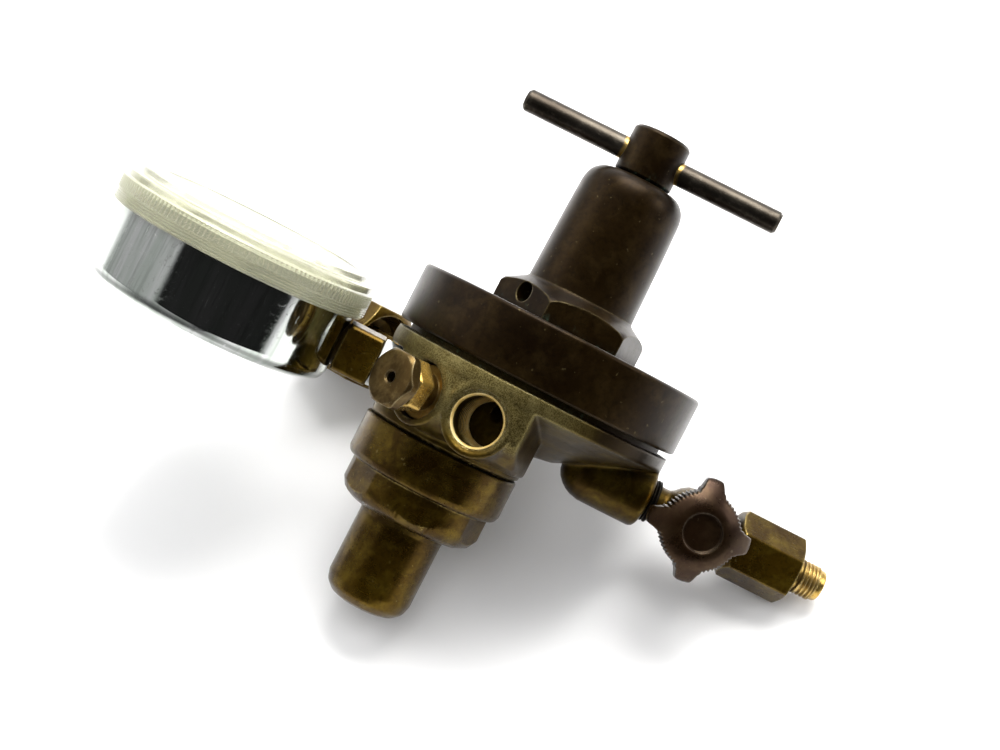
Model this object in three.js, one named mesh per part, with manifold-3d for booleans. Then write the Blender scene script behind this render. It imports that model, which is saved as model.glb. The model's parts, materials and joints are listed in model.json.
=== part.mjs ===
// Two-stage carbon dioxide gas regulator: preset first stage below, hand-adjusted
// second stage above, one contents gauge, relief valve, spare gauge port,
// needle-valve outlet and a swivel-nut inlet.
// Millimetres. +Z is up along the main (adjusting screw) axis, the gauge points
// to -X, the outlet to +X, the handwheel faces -Y, the inlet goes to -X +Y.
// Dimensions are taken from the point where the main axis meets the plane of the
// ports. The finished group is moved so that its origin is the centre of the
// flat end of the first-stage dome.
import * as THREE from "three";
import { mergeVertices } from "three/addons/utils/BufferGeometryUtils.js";
import Module from "manifold-3d";

const wasm = await Module();
wasm.setup();

// ---------------------------------------------------------------- dimensions
// Facets round a turned surface
const LARGE = 32;
const MID = 16;
const FINE = 14; // small surfaces that want a closer circle than SMALL
const SMALL = 12;
const TINY = 10;
const GAP = 0.3; // assembly clearance between neighbours

// Body
const BODY_R = 40.3; // main disc of the forging
const BODY_TOP = 12.2; // top of the disc
const FLANGE_BOTTOM = 8.2; // underside of the thin flange on the outlet side
const SECTOR_BOTTOM = -9; // thick sector on the -X side
const NECK_R = 37.3; // threaded neck that carries the bonnet
const NECK_TOP = 20.6;
const THREAD_CLEARANCE = 0.4; // bonnet and diaphragm against the neck radius
const CHAMBER_R = 30; // low-pressure chamber under the main diaphragm
const CHAMBER_FLOOR = 11;
const VALVE_BORE_R = 5.5; // bore for the valve unit of either stage
const LOWER_X = -15.2; // first-stage axis
const LOWER_R = 22.4; // first-stage boss and cap skirt
const LOWER_BOTTOM = -11.3;

// Ports. angle: degrees from -Y toward -X; z: height of the port axis;
// face, bossEnd, boreStart: distances from the main axis.
const BOSS_R = 9.4;
const SPARE_MOUTH_R = 6.86; // 1/4 NPT mouth
const PORTS = {
  spare: {
    angle: 19.5, z: 0, face: 37.5, bossEnd: 39.6, boreR: SPARE_MOUTH_R - 0.35, boreStart: 24,
  },
  relief: { angle: 47, z: 0, face: 36.4, bossEnd: 39.6, boreR: 5.2, boreStart: 27 },
  gauge: { angle: 90, z: 0, face: 36.7, bossEnd: 36.7, boreR: 7.1, boreStart: 24.5 },
  inlet: { angle: 135, z: 1.35, face: 38.5, bossEnd: 38.5, boreR: 6.4, boreStart: 25 },
  outlet: { angle: -90, z: 0, face: 40.85, boreR: 6.4, boreStart: 27.5 },
};
const OUTLET_BOSS_R = 8.8;
const OUTLET_BOSS_CHAMFER = 1.4;

// Second stage
const RING_R = 41.2; // bonnet cap ring
const RING_BOTTOM = 13.9;
const RING_TOP = 29.95;
const BONNET_TOP = 75.4;
const BONNET_BORE_R = 12;
const BARREL_R_TOP = 14.6;
const BARREL_R_LOW = 15.4;
const BONNET_HEX_AF = 38.1; // across flats, 1 1/2 in
const BONNET_HEX_TOP = 39.4;
const BONNET_HEX_TURN = 6; // degrees, front face normal from -Y toward +X
const VENT_R = 2.85;
const VENT_Z = 34.6;
const DIAPHRAGM_R = NECK_R - THREAD_CLEARANCE;
const SLIP_RING_INNER_R = 31;
const SCREW_R = 4.76; // 3/8 in
const HEAD_R = 8.25;
const HEAD_TOP = 89.2;
const BAR_R = 3.175; // 1/4 in bar
const BAR_LENGTH = 76.2; // 3 in
const BAR_Z = 81.9;
const BAR_TURN = -10.8; // degrees about Z

// First stage
const CAP_TOP = -12.1;
const CAP_HEX_TOP = -24.7;
const CAP_HEX_BOTTOM = -34.9;
const CAP_HEX_AF = 38.4;
const CAP_HEX_TURN = 2; // degrees, front face normal from -Y toward +X
const DOME_R = 12.06;
const DOME_BOTTOM = -60.7;

// Relief valve, along its port axis
const RELIEF_HEX_START = 41.6; // hexagon of the relief body
const RELIEF_HEX_END = 47.2;
const RELIEF_CAP_START = RELIEF_HEX_END + GAP;
const RELIEF_CAP_END = 51.05;

// Contents gauge
const GAUGE_X = -86.3;
const GAUGE_TILT = 3.2; // degrees about X, dial toward -Y
const CASE_R = 34.1;
const CASE_BOTTOM = -11.7;
const LENS_R = 36.4;
const LENS_TOP = 19.45;
const BOURDON_R = 25.5;
const BOURDON_START = 18; // degrees from +X
const BOURDON_SWEEP = 262;
const QUADRANT_X = -13.2; // arbor of the quadrant, from the pointer axis
const QUADRANT_R = 11.85;
const QUADRANT_START = -31; // degrees from +X
const QUADRANT_SWEEP = 35;
const PINION_R = 1.2;
const POINTER_REST = 225; // degrees about Z, low end of the scale

// Needle valve and outlet, along +X
const VALVE_X = 53.06; // needle-valve stem axis
const KNOB_R = 14.1;
const KNOB_VALLEY_R = 10.7;
const KNOB_TURN = 8.4; // degrees
const KNOB_BOTTOM = 18.4;
const LOBE_FLAT = 8; // degrees either side of a lobe centre at full radius
const LOBE_FOOT = 22; // degrees from a lobe centre to the valley radius
const ADAPTER_AF = 17.46; // 11/16 in
const ADAPTER_START = 66.95;
const ADAPTER_END = 86;
const OUTLET_END = 95.3;

// Inlet, along its port axis
const NUT_AF = 23.81; // 15/16 in
const NUT_REAR = 57.7;
const NUT_HEX_END = 71.5;
const NUT_END = 86;
const NUT_SLEEVE_R = 11.4;
const INLET_SHOULDER = NUT_REAR + 12.2; // back of the nipple flange
const INLET_FLANGE_R = 9.7;

// ---------------------------------------------------------------- materials
const MATERIALS = {
  darkBrass: { color: 0x3a2f22, roughness: 0.4, metalness: 0.9 },
  oliveBrass: { color: 0x6b5a26, roughness: 0.4, metalness: 0.9 },
  goldBrass: { color: 0xb08a3a, roughness: 0.3, metalness: 1 },
  capBrass: { color: 0x6a5c45, roughness: 0.4, metalness: 0.9 },
  socketBrass: { color: 0x54491f, roughness: 0.5, metalness: 0.9 },
  nutBrass: { color: 0x8a6a32, roughness: 0.35, metalness: 1 },
  sintered: { color: 0x9c7a4a, roughness: 0.9, metalness: 0.4 },
  handwheel: { color: 0x4c4138, roughness: 0.4, metalness: 0.9 },
  blackSteel: { color: 0x2b2826, roughness: 0.35, metalness: 0.9 },
  steel: { color: 0x8d8f90, roughness: 0.35, metalness: 1 },
  plate: { color: 0x9a9c9d, roughness: 0.4, metalness: 1 },
  poppet: { color: 0xb9b9b4, roughness: 0.4, metalness: 0.8 },
  chrome: { color: 0xd9dcde, roughness: 0.08, metalness: 1 },
  rubber: { color: 0x1c1c1c, roughness: 0.8, metalness: 0 },
  lens: { color: 0xe8e6d8, roughness: 0.1, metalness: 0, transparent: true, opacity: 0.4 },
  dial: { color: 0xf4f4f0, roughness: 0.5, metalness: 0 },
  pointer: { color: 0x151515, roughness: 0.5, metalness: 0 },
  tape: { color: 0xf6f6f4, roughness: 0.7, metalness: 0 },
  washer: { color: 0xeeeeea, roughness: 0.6, metalness: 0 },
};

// ---------------------------------------------------------------- frames
const radians = THREE.MathUtils.degToRad;
const { smoothstep } = THREE.MathUtils;
const matrix = () => new THREE.Matrix4();
const move = (x, y, z) => matrix().makeTranslation(x, y, z);
const spinZ = (degrees) => matrix().makeRotationZ(radians(degrees));

// point at an angle from -Y toward -X
const polar = (degrees, distance, z) => {
  const angle = radians(degrees);
  return new THREE.Vector3(-Math.sin(angle) * distance, -Math.cos(angle) * distance, z);
};
// frame whose +Z points along a horizontal direction and +X points up
function radial(degrees) {
  const outward = polar(degrees, 1, 0);
  const up = new THREE.Vector3(0, 0, 1);
  return matrix().makeBasis(up, new THREE.Vector3().crossVectors(outward, up), outward);
}
const portFrame = ({ angle, z }) => move(0, 0, z).multiply(radial(angle));
const alongX = radial(-90); // +Z -> +X
const alongFront = matrix().makeRotationX(radians(90)); // +Z -> -Y, +Y -> +Z
const lowerFrame = move(LOWER_X, 0, 0);

// ---------------------------------------------------------------- solids
function solid(geometry, frame) {
  geometry.deleteAttribute("normal");
  geometry.deleteAttribute("uv");
  if (frame) geometry.applyMatrix4(frame);
  const merged = mergeVertices(geometry, 1e-4);
  const index = merged.index.array;
  const triangles = [];
  // merging collapses some triangles, mostly those on a lathe axis
  for (let i = 0; i < index.length; i += 3) {
    const [a, b, c] = index.slice(i, i + 3);
    if (a !== b && b !== c && a !== c) triangles.push(a, b, c);
  }
  const build = () =>
    new wasm.Manifold(
      new wasm.Mesh({
        numProp: 3,
        vertProperties: new Float32Array(merged.attributes.position.array),
        triVerts: new Uint32Array(triangles),
      }),
    );
  const result = build();
  if (result.volume() > 0) return result;
  // the outline ran the other way round: turn the faces outward
  for (let i = 0; i < triangles.length; i += 3)
    [triangles[i + 1], triangles[i + 2]] = [triangles[i + 2], triangles[i + 1]];
  return build();
}

const join = (first, ...others) => others.reduce((sum, other) => sum.add(other), first);
const cut = (stock, ...tools) => tools.reduce((rest, tool) => rest.subtract(tool), stock);
const vectors = (points) => points.map(([x, y]) => new THREE.Vector2(x, y));

// Every turned profile is a list of [radius, z] pairs, turned about Z
function turned(profile, segments, frame) {
  const geometry = new THREE.LatheGeometry(vectors(profile), segments);
  geometry.rotateX(Math.PI / 2);
  return solid(geometry, frame);
}
// profile that stays off the axis and closes on itself
const turnedRing = (profile, segments, frame) =>
  turned([...profile, profile[0]], segments, frame);
const rod = (radius, bottom, top, segments, frame) =>
  turned([[0, bottom], [radius, bottom], [radius, top], [0, top]], segments, frame);
const tube = (inner, outer, bottom, top, segments, frame) =>
  turnedRing([[inner, bottom], [outer, bottom], [outer, top], [inner, top]], segments, frame);

function block(x0, x1, y0, y1, z0, z1, frame) {
  const geometry = new THREE.BoxGeometry(x1 - x0, y1 - y0, z1 - z0);
  geometry.translate((x0 + x1) / 2, (y0 + y1) / 2, (z0 + z1) / 2);
  return solid(geometry, frame);
}
function extruded(points, bottom, top) {
  const geometry = new THREE.ExtrudeGeometry(new THREE.Shape(vectors(points)), {
    depth: top - bottom,
    bevelEnabled: false,
    steps: 1,
  });
  geometry.translate(0, 0, bottom);
  return solid(geometry);
}
// hexagon whose first face normal is at angle turn from +X
function hexRod(acrossFlats, bottom, top, turn) {
  const radius = acrossFlats / Math.sqrt(3);
  const points = Array.from({ length: 6 }, (_, i) => {
    const angle = radians(turn + 30 + 60 * i);
    return [radius * Math.cos(angle), radius * Math.sin(angle)];
  });
  return extruded(points, bottom, top);
}
// ellipse swept along a curve
function swept(radiusX, radiusY, sides, steps, extrudePath) {
  const points = Array.from({ length: sides }, (_, i) => {
    const angle = (2 * Math.PI * i) / sides;
    return [radiusX * Math.cos(angle), radiusY * Math.sin(angle)];
  });
  const shape = new THREE.Shape(vectors(points));
  return solid(new THREE.ExtrudeGeometry(shape, { steps, bevelEnabled: false, extrudePath }));
}

// Helix whose end coils close up
const END_TURNS = 0.75; // turns in each closed end
const END_RISE = 0.09; // share of the height taken by each closed end
class Helix extends THREE.Curve {
  constructor(radius, bottom, top, turns) {
    super();
    Object.assign(this, { radius, bottom, top, turns });
  }
  getPoint(t, target = new THREE.Vector3()) {
    const angle = 2 * Math.PI * this.turns * t;
    const end = END_TURNS / this.turns;
    let rise;
    if (t < end) rise = (t / end) * END_RISE;
    else if (t > 1 - end) rise = 1 - ((1 - t) / end) * END_RISE;
    else rise = END_RISE + ((t - end) / (1 - 2 * end)) * (1 - 2 * END_RISE);
    return target.set(
      this.radius * Math.cos(angle),
      this.radius * Math.sin(angle),
      this.bottom + (this.top - this.bottom) * rise,
    );
  }
}
// radius: to the wire centre; wire: wire radius; steps: sweep steps per turn
function coil({ radius, wire, bottom, top, turns, steps, sides }) {
  const path = new Helix(radius, bottom + wire, top - wire, turns);
  return swept(wire, wire, sides, Math.round(turns * steps), path);
}
const poppetSpring = (bottom, top) =>
  coil({ radius: 2.35, wire: 0.32, bottom, top, turns: 4, steps: 7, sides: 4 });

// circular arc for the bourdon tube
class BourdonArc extends THREE.Curve {
  getPoint(t, target = new THREE.Vector3()) {
    const angle = radians(BOURDON_START + BOURDON_SWEEP * t);
    return target.set(BOURDON_R * Math.cos(angle), BOURDON_R * Math.sin(angle), 0);
  }
}

// ---------------------------------------------------------------- scene
const part = new THREE.Group();
function group(frame, parent = part) {
  const child = new THREE.Group();
  child.applyMatrix4(frame);
  parent.add(child);
  return child;
}
function add(name, manifold, material, parent = part) {
  const { vertProperties, triVerts } = manifold.getMesh();
  const geometry = new THREE.BufferGeometry()
    .setAttribute("position", new THREE.BufferAttribute(new Float32Array(vertProperties), 3))
    .setIndex(new THREE.BufferAttribute(new Uint32Array(triVerts), 1));
  geometry.computeVertexNormals();
  const mesh = new THREE.Mesh(geometry, new THREE.MeshStandardMaterial(material));
  mesh.name = name;
  parent.add(mesh);
}

// ---------------------------------------------------------------- body
// disc with a coned underside, and the neck above it
function bodyDisc() {
  return turned(
    [
      [0, -3.6], [9, -3.6], [13.5, -2.6], [39.2, 7.6], [BODY_R, FLANGE_BOTTOM],
      [BODY_R, BODY_TOP - 0.5], [BODY_R - 0.5, BODY_TOP], [NECK_R, BODY_TOP],
      [NECK_R, NECK_TOP], [0, NECK_TOP],
    ],
    LARGE,
  );
}
// thick sector on the -X side, which holds the ports
function bodySector() {
  const top = BODY_TOP - 1;
  const plan = Array.from({ length: 19 }, (_, i) => {
    const rim = polar(2 + (176 * i) / 18, BODY_R, 0);
    return [rim.x, rim.y];
  });
  plan.push([5.5, 22], [7.2, 6], [7.2, -6], [5.5, -22]);
  const envelope = turned(
    [
      [0, SECTOR_BOTTOM], [30, SECTOR_BOTTOM], [36.5, -5.2], [BODY_R, -1.5],
      [BODY_R, top], [0, top],
    ],
    LARGE,
  );
  return extruded(plan.reverse(), SECTOR_BOTTOM, top).intersect(envelope);
}
// first-stage boss with its threaded spigot below
function lowerBoss() {
  return turned(
    [
      [0, -16.3], [19.5, -16.3], [19.5, -11.8], [21.7, -11.8], [21.7, LOWER_BOTTOM],
      [LOWER_R, LOWER_BOTTOM], [LOWER_R, 4], [0, 4],
    ],
    LARGE,
    lowerFrame,
  );
}
function outletBoss() {
  const { face } = PORTS.outlet;
  return turned(
    [
      [0, 16], [3.5, 16.4], [6.4, 18.6], [8.2, 21.4], [OUTLET_BOSS_R, 24],
      [OUTLET_BOSS_R, face - OUTLET_BOSS_CHAMFER], [OUTLET_BOSS_R - OUTLET_BOSS_CHAMFER, face],
      [0, face],
    ],
    MID,
    alongX,
  );
}
// drilled passage between two points
function drill(start, end, radius) {
  const axis = end.clone().sub(start).normalize();
  const turn = new THREE.Quaternion().setFromUnitVectors(new THREE.Vector3(0, 0, 1), axis);
  const frame = matrix().compose(start, turn, new THREE.Vector3(1, 1, 1));
  return rod(radius, 0, start.distanceTo(end), TINY, frame);
}
function bodySolid() {
  const { spare, relief, gauge, inlet } = PORTS;
  const outside = 60; // where the port cutters end, clear of the body
  const ports = Object.values(PORTS);
  const bosses = ports
    .filter((port) => port.bossEnd)
    .map((port) => rod(BOSS_R, 14, port.bossEnd, MID, portFrame(port)));
  const bores = ports.map((port) =>
    rod(port.boreR, port.boreStart, outside, SMALL, portFrame(port)),
  );
  const mouthEnd = spare.face + 1.7;
  const spareMouth = [
    [0, 36], [SPARE_MOUTH_R - 0.6, 36.8], [SPARE_MOUTH_R + 0.9, mouthEnd], [0, mouthEnd],
  ];
  const chamber = [
    [0, CHAMBER_FLOOR], [26, CHAMBER_FLOOR], [CHAMBER_R, 13.5], [CHAMBER_R, 30], [0, 30],
  ];
  const point = (x, z) => new THREE.Vector3(x, 0, z);
  return cut(
    join(bodyDisc(), bodySector(), lowerBoss(), ...bosses, outletBoss()),
    // milled gauge flat and the spot faces
    block(-outside, -gauge.face, -16.6, 16.6, -20, 7.2),
    rod(9.2, spare.face + 1.4, outside, MID, portFrame(spare)),
    rod(7.6, relief.face, outside, MID, portFrame(relief)),
    rod(9.3, inlet.face, outside, MID, portFrame(inlet)),
    // diaphragm chambers
    turned(chamber, LARGE),
    rod(14, -30, -12.9, MID, lowerFrame),
    // valve-unit bores
    rod(VALVE_BORE_R, 1.2, 20, SMALL),
    rod(VALVE_BORE_R, -20, -2.2, SMALL, lowerFrame),
    // ports
    ...bores,
    turned(spareMouth, SMALL, portFrame(spare)),
    // gauge and inlet to the first stage
    drill(point(-30, 0), point(LOWER_X, -4), 1.6),
    drill(polar(inlet.angle, 27, 0), point(LOWER_X, -5), 1.6),
    // spare port, relief valve and outlet to the low-pressure chamber
    drill(polar(spare.angle, 25, 2), polar(spare.angle, 15, 13), 1.6),
    drill(polar(relief.angle, 28.4, 0), polar(relief.angle, 21, 13), 1.5),
    drill(point(29, 1), point(20, 13), 1.8),
    // between the stages
    drill(point(LOWER_X + 7.5, -14), point(1.5, 2.5), 1.3),
  );
}

// ---------------------------------------------------------------- second stage
function bonnetSolid() {
  const hexEnvelope = [
    [0, 28], [23, 28], [23, 33.6], [21.15, 36.2],
    [BARREL_R_LOW + 0.2, BONNET_HEX_TOP], [0, BONNET_HEX_TOP],
  ];
  const shell = [
    [0, RING_BOTTOM], [RING_R - 1, RING_BOTTOM], [RING_R, RING_BOTTOM + 1],
    [RING_R, RING_TOP - 1.2], [RING_R - 1.2, RING_TOP], [BARREL_R_LOW, RING_TOP],
    [BARREL_R_LOW, BONNET_HEX_TOP], [BARREL_R_TOP, 69], [14.1, 71.6], [12.6, 73.8],
    [10.4, 75.1], [8.8, BONNET_TOP], [0, BONNET_TOP],
  ];
  const neckBoreR = NECK_R + THREAD_CLEARANCE;
  const cavity = [
    [0, 10], [neckBoreR, 10], [neckBoreR, 24.2], [SLIP_RING_INNER_R, 24.2],
    [SLIP_RING_INNER_R, 25.8], [BONNET_BORE_R, 31.5], [BONNET_BORE_R, 68.2],
    [5.05, 68.2], [5.05, 80], [0, 80],
  ];
  const hexTurn = -90 + BONNET_HEX_TURN;
  const hex = hexRod(BONNET_HEX_AF, RING_TOP - 0.6, BONNET_HEX_TOP, hexTurn);
  // the vent goes through the hexagon face next to the front one, toward -X
  const ventFrame = portFrame({ angle: 60 - BONNET_HEX_TURN, z: VENT_Z });
  return cut(
    turned(shell, LARGE).add(hex.intersect(turned(hexEnvelope, LARGE))),
    turned(cavity, LARGE),
    rod(VENT_R, 8, 30, SMALL, ventFrame),
  );
}

function buildSecondStage() {
  const { steel, goldBrass, darkBrass } = MATERIALS;
  add("bonnet", bonnetSolid(), darkBrass);
  add("main_diaphragm", rod(DIAPHRAGM_R, 20.9, 21.9, LARGE), MATERIALS.rubber);
  add("slip_ring", tube(SLIP_RING_INNER_R, DIAPHRAGM_R, 22.2, 23.9, LARGE), steel);
  const plate = [
    [0, 22.2], [24, 22.2], [24, 23.6], [12.2, 24.2], [12.2, 25.2], [7.2, 25.2], [6.4, 28],
    [0, 28],
  ];
  add("diaphragm_plate", turned(plate, MID), MATERIALS.plate);
  const pad = [[0, 17.9], [4, 17.9], [4, 19], [10, 19.6], [10, 20.6], [0, 20.6]];
  add("diaphragm_pad", turned(pad, SMALL), goldBrass);
  const rangeSpring = {
    radius: 9.3, wire: 1.45, bottom: 25.5, top: 58.2, turns: 6.5, steps: 10, sides: 5,
  };
  add("range_spring", coil(rangeSpring), steel);

  const nozzle = [
    [1.5, 10.2], [1.5, 15.2], [3.8, 15.2], [4.6, 14.4], [7.2, 14.4], [7.2, 11.3],
    [5.2, 11.3], [5.2, 1.5], [3.4, 1.5], [3.4, 10.2],
  ];
  add("second_stage_nozzle", turnedRing(nozzle, SMALL), goldBrass);
  const poppet = [
    [0, 4.4], [1.2, 4.4], [1.2, 7], [2.9, 7], [2.9, 9], [0.9, 9.6], [0.9, 17.5], [0, 17.5],
  ];
  add("second_stage_poppet", turned(poppet, SMALL), MATERIALS.poppet);
  add("second_stage_poppet_spring", poppetSpring(1.6, 6.7), steel);

  // adjusting screw, its cross bar and the spring button it pushes
  const button = [
    [0, 58.5], [10.8, 58.5], [10.8, 60], [6.5, 61.6], [3, 61.6], [2, 60.8], [0, 60.6],
  ];
  add("spring_button", turned(button, MID), steel);
  const screw = [
    [0, 61], [1.7, 61.2], [3.6, 63], [SCREW_R, 64], [SCREW_R, 75.8], [HEAD_R - 0.4, 75.8],
    [HEAD_R, 76.3], [HEAD_R, HEAD_TOP - 0.8], [HEAD_R - 0.8, HEAD_TOP], [0, HEAD_TOP],
  ];
  const barFrame = move(0, 0, BAR_Z).multiply(spinZ(BAR_TURN)).multiply(alongX);
  const crossHole = rod(BAR_R + GAP, -20, 20, SMALL, barFrame);
  add("adjusting_screw", cut(turned(screw, MID), crossHole), darkBrass);
  const half = BAR_LENGTH / 2;
  const bar = [
    [0, -half], [BAR_R - 0.6, -half], [BAR_R, -half + 0.7],
    [BAR_R, half - 0.7], [BAR_R - 0.6, half], [0, half],
  ];
  add("tee_bar", turned(bar, SMALL), MATERIALS.blackSteel, group(barFrame));
}

// ---------------------------------------------------------------- first stage
function firstStageCapSolid() {
  const hexTop = CAP_HEX_TOP + 0.5; // runs up into the skirt
  const hexEnvelope = [
    [0, CAP_HEX_BOTTOM], [15.8, CAP_HEX_BOTTOM], [18.6, CAP_HEX_BOTTOM + 1.4],
    [20.05, CAP_HEX_BOTTOM + 4], [20.05, hexTop], [0, hexTop],
  ];
  const shell = [
    [0, CAP_TOP], [LOWER_R - 0.4, CAP_TOP], [LOWER_R, CAP_TOP - 0.4],
    [LOWER_R, CAP_HEX_TOP + 2], [LOWER_R - 0.6, CAP_HEX_TOP + 0.6],
    [LOWER_R - 2, CAP_HEX_TOP], [DOME_R + 2, CAP_HEX_TOP], [DOME_R + 2, CAP_HEX_BOTTOM],
    [DOME_R + 0.5, CAP_HEX_BOTTOM - 0.6], [DOME_R, CAP_HEX_BOTTOM - 2], [DOME_R, -55.2],
    [11.3, -57.9], [9.2, -59.9], [6.6, DOME_BOTTOM], [0, DOME_BOTTOM],
  ];
  const cavity = [
    [0, -8], [19.9, -8], [19.9, -17.9], [15, -17.9], [9.4, -23], [9.4, -56.8], [0, -57.6],
  ];
  const hex = hexRod(CAP_HEX_AF, CAP_HEX_BOTTOM, hexTop, -90 + CAP_HEX_TURN);
  const outside = turned(shell, LARGE).add(hex.intersect(turned(hexEnvelope, LARGE)));
  return cut(outside, turned(cavity, LARGE));
}

function buildFirstStage() {
  const { steel, goldBrass } = MATERIALS;
  const stage = group(lowerFrame);
  add("first_stage_cap", firstStageCapSolid(), MATERIALS.oliveBrass, stage);
  add("first_stage_diaphragm", rod(19.5, -17.6, -16.6, MID), MATERIALS.rubber, stage);
  const springPlate = [
    [0, -24.4], [4.8, -24.4], [5.4, -20.9], [8.8, -20.9], [8.8, -19.2], [13.2, -17.9],
    [0, -17.9],
  ];
  add("first_stage_spring_plate", turned(springPlate, MID), steel, stage);
  const spring = {
    radius: 7.3, wire: 1.15, bottom: -53, top: -21.2, turns: 6.5, steps: 9, sides: 5,
  };
  add("first_stage_spring", coil(spring), steel, stage);
  const disc = [[0, -56.2], [9.1, -56.2], [9.1, -53.3], [4.8, -53.3], [4.2, -51.5], [0, -51.5]];
  const keySocket = hexRod(4, -57, -54, 0);
  add("first_stage_preset_disc", cut(turned(disc, MID), keySocket), goldBrass, stage);
  const nozzle = [
    [1.4, -11.4], [1.4, -15], [6.8, -15], [6.8, -13.2], [5.2, -13.2], [5.2, -2.6],
    [3.4, -2.6], [3.4, -11.4],
  ];
  add("first_stage_nozzle", turnedRing(nozzle, SMALL), goldBrass, stage);
  const poppet = [
    [0, -16.3], [0.9, -16.3], [0.9, -10.9], [2.9, -10.3], [2.9, -8.3], [1.2, -8.3],
    [1.2, -5.6], [0, -5.6],
  ];
  add("first_stage_poppet", turned(poppet, SMALL), MATERIALS.poppet, stage);
  add("first_stage_poppet_spring", poppetSpring(-8, -2.8), steel, stage);
}

// ---------------------------------------------------------------- relief valve
function reliefBodySolid() {
  const seat = PORTS.relief.face + GAP;
  const start = RELIEF_HEX_START;
  const end = RELIEF_HEX_END;
  const core = [
    [0, 27.6], [4.6, 27.6], [4.9, 28], [4.9, seat], [7.3, seat], [7.3, seat + 1.1],
    [4.9, seat + 1.1], [4.9, end], [3.9, end], [3.9, 49], [0, 49],
  ];
  const hexEnvelope = [
    [0, start - 0.4], [6.3, start - 0.4], [7.15, start + 0.5], [7.15, end - 0.7],
    [6.4, end], [0, end],
  ];
  const bore = [[0, 20], [1.3, 20], [1.3, 31], [2.7, 31], [2.7, 60], [0, 60]];
  const hex = hexRod(12.7, start, end, 20).intersect(turned(hexEnvelope, MID));
  return cut(turned(core, SMALL).add(hex), turned(bore, FINE));
}
function reliefCapSolid() {
  const start = RELIEF_CAP_START;
  const end = RELIEF_CAP_END;
  const envelope = [
    [0, start], [7.2, start], [7.9, start + 0.6], [7.9, end - 0.9], [7, end], [0, end],
  ];
  return cut(
    hexRod(14.29, start, end, 0).intersect(turned(envelope, MID)),
    rod(4.3, 30, 49.4, SMALL),
    rod(1.4, 40, 60, SMALL),
  );
}

function buildReliefValve() {
  const valve = group(portFrame(PORTS.relief));
  add("relief_body", reliefBodySolid(), MATERIALS.goldBrass, valve);
  add("relief_cap", reliefCapSolid(), MATERIALS.capBrass, valve);
  const poppet = [[0, 31.3], [2.3, 31.3], [2.3, 33.4], [0.9, 33.4], [0.9, 36.5], [0, 36.5]];
  add("relief_poppet", turned(poppet, SMALL), MATERIALS.rubber, valve);
  const spring = { radius: 1.9, wire: 0.3, bottom: 33.6, top: 49, turns: 6, steps: 7, sides: 4 };
  add("relief_spring", coil(spring), MATERIALS.steel, valve);
}

// ---------------------------------------------------------------- contents gauge
// The gauge frame has the pointer axis on +Z and the socket toward +X.
function gaugeCaseSolid() {
  const shell = [
    [0, CASE_BOTTOM], [CASE_R - 3.2, CASE_BOTTOM], [CASE_R - 0.9, CASE_BOTTOM + 1],
    [CASE_R, CASE_BOTTOM + 3.2], [CASE_R, 13.8], [CASE_R - 1, 13.8],
    [CASE_R - 1, CASE_BOTTOM + 3.6], [CASE_R - 3.4, CASE_BOTTOM + 1], [0, CASE_BOTTOM + 1],
  ];
  return cut(turned(shell, LARGE), rod(6.4, 25, 40, SMALL, alongX));
}
// clear screwed lens ring with its window
function gaugeLensSolid() {
  const profile = [
    [0, 17.3], [31.4, 17.3], [32.6, 16.4], [32.6, 14.2], [CASE_R + 0.4, 14.2],
    [CASE_R + 0.4, 8.4], [LENS_R - 0.3, 8.4], [LENS_R, 8.8], [LENS_R, 15],
    [LENS_R - 0.8, 15.6], [LENS_R - 0.9, 17.2], [LENS_R - 2, 17.6], [33.2, 17.8],
    [32.6, LENS_TOP], [30.4, LENS_TOP], [30, LENS_TOP - 0.5], [0, LENS_TOP - 0.5],
  ];
  return turned(profile, LARGE);
}
// bourdon block inside the case, square shank outside, then the threaded end
function gaugeSocketSolid() {
  const threadedEnd = [[0, 44], [6, 44], [6, 49.2], [5.6, 59.5], [0, 59.5]];
  const outside = join(
    block(-6, 6, -6, 6, 14.5, 31.8, alongX),
    rod(6, 30, 36, SMALL, alongX),
    block(-6.7, 6.7, -6.7, 6.7, 34.5, 44.6, alongX),
    turned(threadedEnd, SMALL, alongX),
  );
  return cut(outside, rod(1.6, 24, 70, TINY, alongX));
}
// two plates joined by four posts
function movementFrameSolid() {
  const plates = [-6.5, 5.5].map((z) => block(-17.5, 13.8, -6, 6, z, z + 1));
  const posts = [[-16, -4.8], [-16, 4.8], [12.4, 4.8], [12.4, -4.8]].map(([x, y]) =>
    rod(0.9, -6, 6, 8, move(x, y, 0)),
  );
  const arborHoles = [0, QUADRANT_X].map((x) => rod(1.2, -10, 10, SMALL, move(x, 0, 0)));
  return cut(join(...plates, ...posts), ...arborHoles);
}
// quadrant on its arbor, which drives the pinion on the pointer shaft
function quadrantSolid() {
  const outline = Array.from({ length: 7 }, (_, i) => {
    const angle = radians(QUADRANT_START + (QUADRANT_SWEEP * i) / 6);
    return [QUADRANT_R * Math.cos(angle), QUADRANT_R * Math.sin(angle)];
  });
  outline.push([10, 0.6], [3, 1.3], [-3.4, 1.1], [-3.4, -1.1], [1.5, -1.9], [8.4, -5.4]);
  return extruded(outline, -0.6, 0.6).add(rod(0.95, -6.3, 6.3, TINY));
}
function pointerSolid() {
  const outline = [
    [-9, -1.6], [-4, -1], [0, -1.9], [3, -1], [26, -0.25],
    [26, 0.25], [3, 1], [0, 1.9], [-4, 1], [-9, 1.6],
  ];
  const blank = extruded(outline, 13.3, 13.9).add(rod(2.4, 13.1, 14.4, FINE));
  return cut(blank, rod(1.35, 10, 20, SMALL));
}

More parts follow.
